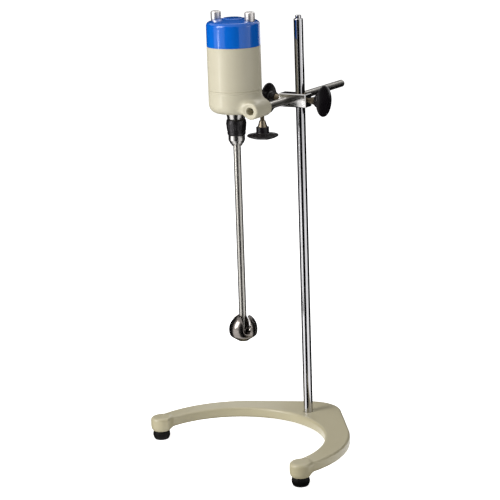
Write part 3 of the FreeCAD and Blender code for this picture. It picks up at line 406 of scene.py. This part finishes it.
for finishMaterial, names in (
    (corePlate, ("stator_core", "armature_core")),
    (copperWire, ("field_coils", "armature_winding")),
    (brightBrass, ("commutator", "brush_holders", "clamp_sleeve")),
    (carbon, ("brushes",)),
    (turnedSteel, ("spindle", "tie_bolts", "lower_bearing", "upper_bearing", "impeller_screw")),
    (platedScrew, ("foot_studs", "rod_washer", "rod_nut")),
    (jawSteel, ("chuck_jaw_1", "chuck_jaw_2", "chuck_jaw_3")),
    (clampChrome, ("clamp_body",)),
):
    for nodeName in names:
        for k in range(len(nodes[nodeName].material_slots)):
            nodes[nodeName].material_slots[k].material = finishMaterial


base = {"armCentre": -130.0, "armRadius": 146.5, "hubRadius": 45.5, "biteCentre": -143.0, "biteRadius": 122.0,
        "low": 16.0, "top": 30.0, "topEdge": 3.2, "draft": 0.02, "tipSide": 135.0, "tipFront": -152.0,
        "tipRadius": 12.9, "tipEnd": 12.2, "tipLow": 12.0, "tipDrop": 0.4, "tipBlend": 5.0,
        "bossTaper": 0.25, "bossBlend": 6.0, "rearBack": 27.0, "rearRise": 2.0, "rearBlend": 3.0,
        "recessRadius": 12.0, "recessTop": 20.0, "rodHole": 6.4, "rodHoleLow": 22.0, "cell": 1.2}


def baseField(x, y, z):
    # outline: the taper that wraps the wide arm circle and the hub circle, less the round bite, plus the tips
    taper = (base["armRadius"] - base["hubRadius"]) / abs(base["armCentre"])
    across, along = np.abs(x), -y
    length = abs(base["armCentre"])
    cosine = math.sqrt(1 - taper * taper)
    reach = across * taper + along * cosine
    outline = np.where(reach < 0, np.hypot(across, along) - base["hubRadius"],
                       np.where(reach > cosine * length, np.hypot(across, along - length) - base["armRadius"],
                                across * cosine - along * taper - base["hubRadius"]))
    bite = np.hypot(x, y - base["biteCentre"]) - base["biteRadius"]
    outline = np.maximum(outline, -bite)
    outline = np.maximum(outline, base["tipFront"] - y)
    tip = np.hypot(across - base["tipSide"], y - base["tipFront"])
    outline = softJoin(outline, tip - base["tipEnd"], base["tipBlend"])
    draft = (z - base["low"]) * base["draft"]
    slab = roundedBlock(outline + draft, np.maximum(z - base["top"], base["low"] - z), base["topEdge"])
    narrowing = np.maximum(base["low"] - z, 0) * base["bossTaper"]
    bossEnds = np.maximum(z - base["top"] + base["tipDrop"], base["tipLow"] - z)
    boss = roundedBlock(tip - base["tipRadius"] + narrowing, bossEnds, 2.0)
    rear = np.hypot(x, y - base["rearBack"]) - base["tipRadius"] + narrowing
    rear = roundedBlock(rear, np.maximum(z - base["low"] - base["rearRise"], base["tipLow"] - z), 1.0)
    body = softJoin(softJoin(slab, boss, base["bossBlend"]), rear, base["rearBlend"])
    column = np.hypot(x, y)
    body = softCut(body, np.maximum(column - base["recessRadius"], z - base["recessTop"]), 0.8)
    return softCut(body, np.maximum(column - base["rodHole"], base["rodHoleLow"] - z), 0.8)


basePiece = castPiece("baseCasting", baseField, (-152, -170, 10), (152, 50, 33), base["cell"])
dress(basePiece, basePaint, "base_paint", "stand", "base")

foot = {"low": 0.8, "top": 12.0, "topRadius": 10.6, "bulge": 1.5, "bottomRadius": 10.2, "soleRadius": 9.4,
        "stud": 2.52, "head": 6.02, "headLow": 3.18, "headTop": 6.02}
for label, across, along, node in (("leftFoot", -base["tipSide"], base["tipFront"], "front_left_foot"),
                                   ("rightFoot", base["tipSide"], base["tipFront"], "front_right_foot"),
                                   ("rearFoot", 0.0, base["rearBack"], "rear_foot")):
    # the side bulges like squashed rubber: the radius follows half a sine wave over the height
    rise = np.linspace(0, 1, 11)
    radius = foot["bottomRadius"] + (foot["topRadius"] - foot["bottomRadius"]) * rise
    radius = radius + foot["bulge"] * np.sin(math.pi * rise)
    height = foot["low"] + (foot["top"] - foot["low"]) * rise
    footPiece = turnedPiece(label, [(0, 0), (foot["soleRadius"], 0)] + list(zip(radius, height)) + [
        (foot["stud"], foot["top"]), (foot["stud"], foot["headTop"]), (foot["head"], foot["headTop"]),
        (foot["head"], foot["headLow"]), (0, foot["headLow"])], (across, along, 0), columns=80)
    dress(footPiece, footRubber, "rubber", "stand", node)

rod = {"radius": 6.35, "low": 23.0, "top": 571.6, "stub": 4.0, "stubTop": 576.1, "spigot": 5.0,
       "spigotLow": 13.0, "bevel": 0.8}
standRod = turnedPiece("standRod", [
    (0, rod["spigotLow"]), (rod["spigot"] - rod["bevel"], rod["spigotLow"]),
    (rod["spigot"], rod["spigotLow"] + rod["bevel"]), (rod["spigot"], rod["low"]),
    (rod["radius"], rod["low"]), (rod["radius"], rod["top"], 0.9),
    (rod["stub"], rod["top"], 0.3), (rod["stub"], rod["stubTop"], 0.6), (0, rod["stubTop"])])
dress(standRod, rodChrome, "chrome", "stand", "stand_rod")
print("stand made")

cross = {"radius": 5.0, "front": -88.0, "end": 146.6, "edge": 0.9}
crossRod = turnedPiece("crossRod", [
    (0, cross["front"]), (cross["radius"], cross["front"], cross["edge"]),
    (cross["radius"], cross["end"], cross["edge"]), (0, cross["end"])],
    armPoint(arm["crossOffset"], 0, arm["height"]), back, columns=72)
dress(crossRod, stainless, "chrome", "cross_arm", "cross_rod")

knob = {"radius": 20.5, "coneLength": 8.0, "coneRadius": 6.4, "collar": 4.5, "hubRadius": 8.4,
        "hubLength": 8.6, "dish": 1.6, "rim": 2.0, "dome": 5.0, "hole": 3.1, "screwDepth": 13.0}
thread = {"radius": 3.0, "root": 2.4, "pitch": 1.0, "depth": 0.55, "lead": 0.6, "rowsPerTurn": 8}


def threadRipple(angle, height, radius):
    # a V thread: the depth follows the height less the angle's share of the pitch
    turn = height / thread["pitch"] - angle / (2 * math.pi)
    saw = np.abs((turn % 1.0) - 0.5) * 2
    return -thread["depth"] * saw * (radius > thread["root"] + 0.1)


def clampScrew(label, foot, axis, bodyPair, node, tip, seat):
    # foot is on the bored rod's axis; the screw's tip and the ferrule's seat are distances out along axis
    coneEnd = seat + knob["coneLength"]
    hubEnd = coneEnd + knob["hubLength"]
    rimLow = hubEnd + knob["dish"]
    rimHigh = rimLow + knob["rim"]
    end, root, hole = seat + knob["screwDepth"], thread["root"], knob["hole"]
    threadRows = np.arange(tip + thread["lead"], end, thread["pitch"] / thread["rowsPerTurn"])
    screw = turnedPiece(label + "Screw", [
        (0, tip), (root, tip)] + [(thread["radius"], h) for h in threadRows] + [(root, end), (0, end)],
        foot, axis, columns=40, ripple=threadRipple)
    dress(screw, platedScrew, "zinc", bodyPair[0], node + "_screw")
    ferrule = turnedPiece(label + "Ferrule", [
        (hole, seat), (knob["collar"] - 0.3, seat, 0.3), (knob["collar"], seat + 1.6, 0.8),
        (knob["coneRadius"], coneEnd), (hole, coneEnd)], foot, axis, columns=64, closed=True)
    dress(ferrule, platedScrew, "zinc", bodyPair[1], node + "_ferrule")
    face = (knob["radius"] ** 2 + knob["dome"] ** 2) / (2 * knob["dome"])
    spread = np.linspace(knob["radius"] - 0.6, 0, 16)[:-1]
    domeRows = [(r, rimHigh + knob["dome"] - face + math.sqrt(face * face - r * r)) for r in spread]
    disc = turnedPiece(label + "Knob", [
        (0, end + 0.5), (hole, end + 0.5), (hole, coneEnd), (knob["hubRadius"], coneEnd, 0.8),
        (knob["hubRadius"], hubEnd, 2.0), (knob["radius"] - 0.8, rimLow, 0.6),
        (knob["radius"], rimLow + 0.8, 0.6), (knob["radius"], rimHigh - 0.2, 0.8)] + domeRows + [
        (0, rimHigh + knob["dome"])], foot, axis, columns=128)
    dress(disc, knobPlastic, "knob_plastic", bodyPair[1], node + "_knob")


motor = {"radius": 35.0, "low": 457.0, "seam": 487.4, "capSeam": 544.0, "corner": 12.0, "wall": 31.6,
         "floor": 462.0, "floorCorner": 8.5, "spindleHole": 6.5, "lugSide": 37.0, "lugRadius": 11.0,
         "lugHole": 5.06, "lugFront": -26.0, "lugBack": 14.0, "lugBlend": 11.0, "screwBack": 4.5,
         "screwHole": 3.06, "lineOut": 0.3, "lineDrop": 3.4, "lineRadius": 0.55, "cell": 0.75}
clampMiddle = armPoint(0, 0, arm["height"])
lugMiddle = armPoint(arm["crossOffset"], arm["motorBack"] + motor["screwBack"], arm["height"])
clampScrew("standClamp", clampMiddle, side, ("stand_screw", "stand_knob"), "stand_clamp",
           tip=7.95, seat=15.9)
clampScrew("crossClamp", clampMiddle, -side, ("cross_screw", "cross_knob"), "cross_clamp",
           tip=21.3, seat=29.0)
clampScrew("lug", lugMiddle, -up, ("lug_screw_body", "lug_knob_body"), "lug", tip=5.3, seat=16.5)
print("clamp made")


def housingField(x, y, z):
    # a cup with a rounded lower edge, joined softly to a barrel that is bored for the cross rod
    across, along = armCoordinates(x, y)
    radius = np.hypot(across, along)
    cup = roundedBlock(radius - motor["radius"], motor["low"] - z, motor["corner"])
    cup = roundedBlock(cup, z - motor["seam"], 0.6)
    barrelRadius = np.hypot(across - motor["lugSide"], z - arm["height"])
    barrel = roundedBlock(barrelRadius - motor["lugRadius"], along - motor["lugBack"], 4.5)
    barrel = roundedBlock(barrel, motor["lugFront"] - along, 2.0)
    body = softJoin(cup, barrel, motor["lugBlend"])
    body = softCut(body, barrelRadius - motor["lugHole"], 0.8)
    hollow = roundedBlock(radius - motor["wall"], motor["floor"] - z, motor["floorCorner"])
    body = np.maximum(body, -hollow)
    body = softCut(body, radius - motor["spindleHole"], 0.5)
    turnedLine = np.hypot(radius - motor["radius"] - motor["lineOut"], z - motor["seam"] + motor["lineDrop"])
    body = softCut(body, turnedLine - motor["lineRadius"], 0.3)
    screwHole = np.hypot(across - motor["lugSide"], along - motor["screwBack"]) - motor["screwHole"]
    return np.maximum(body, -np.maximum(screwHole, z - arm["height"]))


housingLow = motorFoot + np.array([-40, -42, 448])
housingHigh = motorFoot + np.array([60, 60, 490])
housing = castPiece("lowerHousing", housingField, housingLow, housingHigh, motor["cell"])
dress(housing, housingPaint, "housing_paint", "motor", "lower_housing")

shell = {"edge": 0.5, "line": 490.9, "lineHalf": 0.3, "lineDepth": 0.2}  # the line is a turned groove
shellPiece = turnedPiece("motorShell", [
    (motor["wall"], motor["seam"]), (motor["radius"] - shell["edge"], motor["seam"], 0.2),
    (motor["radius"], motor["seam"] + shell["edge"], 0.3),
    (motor["radius"], shell["line"] - shell["lineHalf"], 0.2),
    (motor["radius"] - shell["lineDepth"], shell["line"]),
    (motor["radius"], shell["line"] + shell["lineHalf"], 0.2),
    (motor["radius"], motor["capSeam"] - shell["edge"], 0.3),
    (motor["radius"] - shell["edge"], motor["capSeam"], 0.2), (motor["wall"], motor["capSeam"])],
    motorFoot, columns=160, closed=True)
dress(shellPiece, housingPaint, "housing_paint", "motor", "motor_shell")

cap = {"shoulder": 576.0, "corner": 4.0, "rise": 4.0, "discRadius": 12.5, "discHeight": 0.35, "discSag": 0.1,
       "wallAbove": 3.5, "bearingLow": 565.0, "bearingInner": 11.0, "bearingOuter": 14.0, "boltCircle": 25.5,
       "boltHole": 2.4, "seatRadius": 7.0, "cell": 0.75}


def capField(x, y, z):
    # a drum under a shallow sphere, with a low disc, two flat nut seats and a hollow with a bearing seat
    across, along = armCoordinates(x, y)
    radius = np.hypot(across, along)
    rim = motor["radius"] - cap["corner"]
    sphere = (rim * rim + cap["rise"] ** 2) / (2 * cap["rise"])
    centre = cap["shoulder"] + cap["rise"] - sphere
    dome = np.hypot(radius, z - centre) - sphere
    body = roundedBlock(radius - motor["radius"], dome, cap["corner"])
    discTop = z - centre - sphere - cap["discHeight"] + cap["discSag"]
    disc = roundedBlock(radius - cap["discRadius"], discTop, 0.6)
    body = softJoin(body, np.maximum(disc, cap["shoulder"] - z), 0.8)
    body = roundedBlock(body, motor["capSeam"] - z, 0.5)
    hollow = roundedBlock(radius - motor["wall"], z - cap["shoulder"] + cap["wallAbove"], 2.0)
    ring = np.maximum(radius - cap["bearingOuter"], cap["bearingInner"] - radius)
    seat = np.maximum(ring, cap["bearingLow"] - z)
    body = np.maximum(body, -np.maximum(hollow, -seat))
    for sign in (-1, 1):
        bolt = np.hypot(across - sign * cap["boltCircle"], along)
        body = softCut(body, np.maximum(bolt - cap["seatRadius"], cap["shoulder"] - z), 0.5)
        body = np.maximum(body, cap["boltHole"] - bolt)
    return body


capLow = motorFoot + np.array([-37, -37, 542])
capHigh = motorFoot + np.array([37, 37, 583])
capPiece = castPiece("topCap", capField, capLow, capHigh, cap["cell"])
dress(capPiece, capPaint, "cap_paint", "motor", "top_cap")

nut = {"radius": 6.75, "footRadius": 6.3, "low": 576.0, "grip": 583.3, "top": 588.5, "taper": 3.1,
       "rounding": 2.6, "thread": 2.22}
for label, sign in (("leftCapNut", -1), ("rightCapNut", 1)):
    nutPiece = turnedPiece(label, [
        (0, nut["grip"]), (nut["thread"], nut["grip"]), (nut["thread"], nut["low"]),
        (nut["footRadius"], nut["low"], 0.3), (nut["radius"], nut["low"] + nut["taper"], 1.5),
        (nut["radius"], nut["top"], nut["rounding"]), (0, nut["top"])],
        motorFoot + side * sign * cap["boltCircle"], columns=72)
    dress(nutPiece, brightPlate, "steel", "motor", "dome_nuts")

grommet = {"height": 479.0, "hole": 3.2, "neck": 4.95, "flange": 7.0, "flangeLow": 35.3, "end": 37.4}
grommetPiece = turnedPiece("cableGrommet", [
    (grommet["hole"], motor["wall"]), (grommet["hole"], grommet["end"], 0.6),
    (grommet["flange"], grommet["end"], 1.2), (grommet["flange"], grommet["flangeLow"], 0.4),
    (grommet["neck"], grommet["flangeLow"]), (grommet["neck"], motor["wall"])],
    motorFoot + up * grommet["height"], -side, columns=48, closed=True)
dress(grommetPiece, footRubber, "rubber", "motor", "cable_grommet")
print("motor made")

chuck = {"low": 415.4, "tipRadius": 8.5, "noseHigh": 420.4, "noseRadius": 11.0, "step": 426.7,
         "coreRadius": 10.05, "coreTop": 448.6, "hubRadius": 11.6, "hubMiddle": 454.0, "hubSpread": 12.6,
         "top": 456.5, "topRadius": 13.2, "shaftHole": 5.15, "spindleHole": 4.02, "holeEnd": 442.5}
chuckBody = turnedPiece("chuckBody", [
    (chuck["shaftHole"], chuck["low"]), (chuck["tipRadius"], chuck["low"], 0.4),
    (chuck["noseRadius"], chuck["noseHigh"], 0.8), (chuck["noseRadius"], chuck["step"], 0.2),
    (chuck["coreRadius"], chuck["step"]), (chuck["coreRadius"], chuck["coreTop"]),
    (chuck["hubRadius"], chuck["coreTop"], 0.3), (chuck["hubSpread"], chuck["hubMiddle"], 1.5),
    (chuck["topRadius"], chuck["top"], 0.3), (chuck["spindleHole"], chuck["top"]),
    (chuck["spindleHole"], chuck["holeEnd"]), (chuck["shaftHole"], chuck["holeEnd"])], motorFoot, closed=True)
dress(chuckBody, turnedSteel, "steel", "rotor", "chuck_body")

sleeve = {"hole": 10.1, "low": 427.0, "top": 448.3, "gripHeights": (432.8, 442.5), "gripRadii": (12.5, 13.4),
          "collar": [(11.3, 427.0, 0.3), (11.9, 427.8, 0.4), (12.25, 431.0, 0.2)],
          "neck": [(11.75, 431.5, 0.1), (11.95, 432.3, 0.1)],
          "crown": [(12.8, 446.6, 0.6), (11.8, 448.3, 0.4)],
          "flutes": 30, "fluteDepth": 0.22, "fluteLow": 433.5, "fluteHigh": 446.0, "fluteFade": 1.2}


def gripRipple(angle, height, radius):  # shallow grip flutes that fade out towards both ends of the sleeve
    fade = np.clip((height - sleeve["fluteLow"]) / sleeve["fluteFade"], 0, 1)
    fade = fade * np.clip((sleeve["fluteHigh"] - height) / sleeve["fluteFade"], 0, 1)
    fade = fade * (radius > sleeve["hole"] + 0.9)  # not in the bore
    return -sleeve["fluteDepth"] * fade * (0.5 - 0.5 * np.cos(angle * sleeve["flutes"]))


gripRows = list(zip(np.linspace(*sleeve["gripRadii"], 12), np.linspace(*sleeve["gripHeights"], 12)))
outerRows = sleeve["collar"] + sleeve["neck"] + gripRows + sleeve["crown"]
chuckSleeve = turnedPiece("chuckSleeve", [(sleeve["hole"], sleeve["low"])] + outerRows + [
    (sleeve["hole"], sleeve["top"])], motorFoot, columns=240, closed=True, ripple=gripRipple)
dress(chuckSleeve, blackedSteel, "black_steel", "chuck_ring", "chuck_sleeve")

shaft = {"radius": 5.0, "low": 148.0, "top": 431.0, "edge": 0.5}
shaftPiece = turnedPiece("stirringShaft", [
    (0, shaft["low"]), (shaft["radius"], shaft["low"], shaft["edge"]),
    (shaft["radius"], shaft["top"], shaft["edge"]), (0, shaft["top"])], motorFoot)
dress(shaftPiece, stainless, "stainless", "tool", "stirring_shaft")

impeller = {"low": 146.5, "flare": (17.5, 154.0), "widest": (19.1, 164.5), "throat": (9.5, 181.2),
            "baseRadius": 6.2, "wall": 2.4, "lip": 0.6, "rimEdge": 1.2, "floor": 155.0, "hubRadius": 8.2,
            "hubDepth": 3, "hubTop": 164.0, "slotHalf": 4.75, "slotLow": 159.5, "slotInner": 2.0,
            "slotEdge": 1.4, "slotAngle": -25.3, "petals": 3, "hole": 5.02, "cell": 0.5}


def circleThrough(a, b, c):  # centre and radius of the circle through three points
    rows = 2 * np.array([np.subtract(b, a), np.subtract(c, a)])
    squares = [np.dot(b, b) - np.dot(a, a), np.dot(c, c) - np.dot(a, a)]
    centre = np.linalg.solve(rows, squares)
    return centre[0], centre[1], float(np.hypot(*(centre - a)))


def impellerField(x, y, z):
    # a shallow cone under a bowl whose wall is a turned arc, cut by round-ended slots into petals
    dx, dy = x - motorFoot[0], y - motorFoot[1]
    radius = np.hypot(dx, dy)
    centreR, centreZ, ball = circleThrough(impeller["flare"], impeller["widest"], impeller["throat"])
    arc = np.hypot(radius - centreR, z - centreZ)
    run, rise = impeller["flare"][0] - impeller["baseRadius"], impeller["flare"][1] - impeller["low"]
    cone = ((radius - impeller["baseRadius"]) * rise - (z - impeller["low"]) * run) / math.hypot(run, rise)
    solid = roundedBlock(arc - ball, cone, impeller["rimEdge"])
    solid = roundedBlock(solid, np.maximum(z - impeller["throat"][1], impeller["low"] - z), impeller["lip"])
    hollow = roundedBlock(arc - ball + impeller["wall"], impeller["floor"] - z, 2.0)
    bowl = softCut(solid, hollow, 0.8)
    angle = np.arctan2(dy, dx) - math.radians(impeller["slotAngle"])
    share = 2 * math.pi / impeller["petals"]
    near = (angle + share / 2) % share - share / 2
    sideways, outward = radius * np.sin(near), radius * np.cos(near)
    slotEnd = impeller["slotLow"] + impeller["slotHalf"]
    slot = np.where(z > slotEnd, np.abs(sideways), np.hypot(sideways, z - slotEnd)) - impeller["slotHalf"]
    bowl = softCut(bowl, np.maximum(slot, impeller["slotInner"] - outward), impeller["slotEdge"])
    hubEnds = np.maximum(z - impeller["hubTop"], impeller["floor"] - impeller["hubDepth"] - z)
    hub = roundedBlock(radius - impeller["hubRadius"], hubEnds, 0.8)
    body = softJoin(bowl, hub, 2.0)
    return softCut(body, radius - impeller["hole"], 0.4)


impellerLow = motorFoot + np.array([-21, -21, 145])
impellerHigh = motorFoot + np.array([21, 21, 184])
impellerPiece = castPiece("impellerBowl", impellerField, impellerLow, impellerHigh, impeller["cell"])
# the bowl takes the darkened stainless, whose colour carries painted shade
dress(impellerPiece, shadedStainless, "stainless", "tool", "impeller")
print("chuck and impeller made")

scene = bpy.context.scene
floorSize = 12.0
floorMesh = bpy.data.meshes.new("floor")
floorCorners = [(-floorSize, -floorSize, 0), (floorSize, -floorSize, 0), (floorSize, floorSize, 0),
                (-floorSize, floorSize, 0)]
floorMesh.from_pydata(floorCorners, [], [(0, 1, 2, 3)])
floor = bpy.data.objects.new("floor", floorMesh)
scene.collection.objects.link(floor)


def seenDirectly(tree):  # 1 for camera, glossy and transmission rays, 0 for the rest
    path = tree.nodes.new("ShaderNodeLightPath")
    first = mathNode(tree, "MAXIMUM", path.outputs["Is Camera Ray"], path.outputs["Is Glossy Ray"])
    return mathNode(tree, "MAXIMUM", first, path.outputs["Is Transmission Ray"])


floorMaterial = bpy.data.materials.new("paleFloor")
floorMaterial.use_nodes = True
floorTree = floorMaterial.node_tree
floorShader = floorTree.nodes["Principled BSDF"]
floorShader.inputs["Base Color"].default_value = (0.9, 0.9, 0.9, 1)
floorShader.inputs["Roughness"].default_value = 0.9
floorShader.inputs["Specular IOR Level"].default_value = 0.0
floorShader.inputs["Emission Color"].default_value = (1, 1, 1, 1)
floorGlow = mathNode(floorTree, "MULTIPLY", seenDirectly(floorTree), 0.86)
floorTree.links.new(floorGlow, floorShader.inputs["Emission Strength"])
floorMesh.materials.append(floorMaterial)

world = bpy.data.worlds.new("studio")
scene.world = world
world.use_nodes = True
worldTree = world.node_tree
background = worldTree.nodes["Background"]
background.inputs["Color"].default_value = (1, 1, 1, 1)
ambient = 0.26
direct = mathNode(worldTree, "MULTIPLY", seenDirectly(worldTree), 1.0 - ambient)
worldTree.links.new(mathNode(worldTree, "ADD", direct, ambient), background.inputs["Strength"])

view = {"azimuth": 46.71, "elevation": 13.81, "roll": -1.88, "place": (1.71886, -1.71975, 0.85881),
        "focal": 1853.3, "pixels": 500.0, "sensor": 36.0}
azimuth, elevation, roll = (math.radians(view[k]) for k in ("azimuth", "elevation", "roll"))
flat = math.cos(elevation)
toCamera = np.array([math.sin(azimuth) * flat, -math.cos(azimuth) * flat, math.sin(elevation)])
level = np.array([math.cos(azimuth), math.sin(azimuth), 0.0])
upright = np.cross(toCamera, level)
right = math.cos(roll) * level + math.sin(roll) * upright
top = -math.sin(roll) * level + math.cos(roll) * upright
cameraData = bpy.data.cameras.new("camera")
cameraData.sensor_width = view["sensor"]
cameraData.lens = view["focal"] * view["sensor"] / view["pixels"]
cameraData.clip_end = 50.0
cameraObject = bpy.data.objects.new("camera", cameraData)
matrix = np.eye(4)
matrix[:3, 0], matrix[:3, 1], matrix[:3, 2], matrix[:3, 3] = right, top, toCamera, view["place"]
cameraObject.matrix_world = Matrix(matrix.tolist())
scene.collection.objects.link(cameraObject)
scene.camera = cameraObject


def softbox(name, turn, height, distance, width, tall, watts):
    # a rectangular lamp that faces the middle of the object, at an angle round it from the camera's side
    angle = azimuth + math.radians(turn)
    place = np.array([math.sin(angle) * distance, -math.cos(angle) * distance, height])
    lamp = bpy.data.lights.new(name, "AREA")
    lamp.shape = "RECTANGLE"
    lamp.size, lamp.size_y = width, tall
    lamp.energy = watts
    lampObject = bpy.data.objects.new(name, lamp)
    aim = np.array([0.0, -0.05, 0.33]) - place
    lampObject.location = place
    lampObject.rotation_euler = Vector(aim).to_track_quat("-Z", "Y").to_euler()
    scene.collection.objects.link(lampObject)


cardMaterial = bpy.data.materials.new("darkCard")
cardMaterial.use_nodes = True
cardShader = cardMaterial.node_tree.nodes["Principled BSDF"]
cardShader.inputs["Base Color"].default_value = (0.006, 0.006, 0.007, 1)
cardShader.inputs["Roughness"].default_value = 1.0
cardShader.inputs["Specular IOR Level"].default_value = 0.0


def darkCard(name, low, high, rows):
    # a black panel that only shows in reflections: rows of (distance, height) swept from angle low to high
    columns = 13
    angles = azimuth + np.radians(np.linspace(low, high, columns))
    points = [(math.sin(a) * reach, -math.cos(a) * reach, height) for reach, height in rows for a in angles]
    mesh = bpy.data.meshes.new(name)
    mesh.from_pydata(points, [], gridFaces(len(rows), columns, False, False).tolist())
    mesh.materials.append(cardMaterial)
    card = bpy.data.objects.new(name, mesh)
    scene.collection.objects.link(card)
    card.visible_camera = card.visible_diffuse = card.visible_shadow = card.visible_transmission = False


uprightRows = [(0.06, 0.002), (0.75, 0.002), (0.75, 0.9)]
darkCard("frontCard", low=-40, high=16, rows=uprightRows)
darkCard("leftCard", low=-166, high=-86, rows=uprightRows)
darkCard("rightCard", low=72, high=138, rows=uprightRows)
darkCard("lowCard", low=138, high=182, rows=[(0.06, 0.002), (0.75, 0.002), (0.75, 0.43)])
darkCard("backCard", low=160, high=212, rows=[(1.0, 0.53), (1.0, 1.8)])
softbox("keyLamp", turn=-62, height=1.5, distance=2.2, width=1.0, tall=1.5, watts=48)
softbox("fillLamp", turn=70, height=1.1, distance=2.4, width=0.9, tall=1.6, watts=9)
softbox("topLamp", turn=170, height=2.2, distance=1.5, width=1.6, tall=1.2, watts=16)
softbox("stripLamp", turn=-66, height=0.36, distance=0.9, width=0.08, tall=0.2, watts=0.8)

scene.view_settings.view_transform = "Standard"
print("studio made")
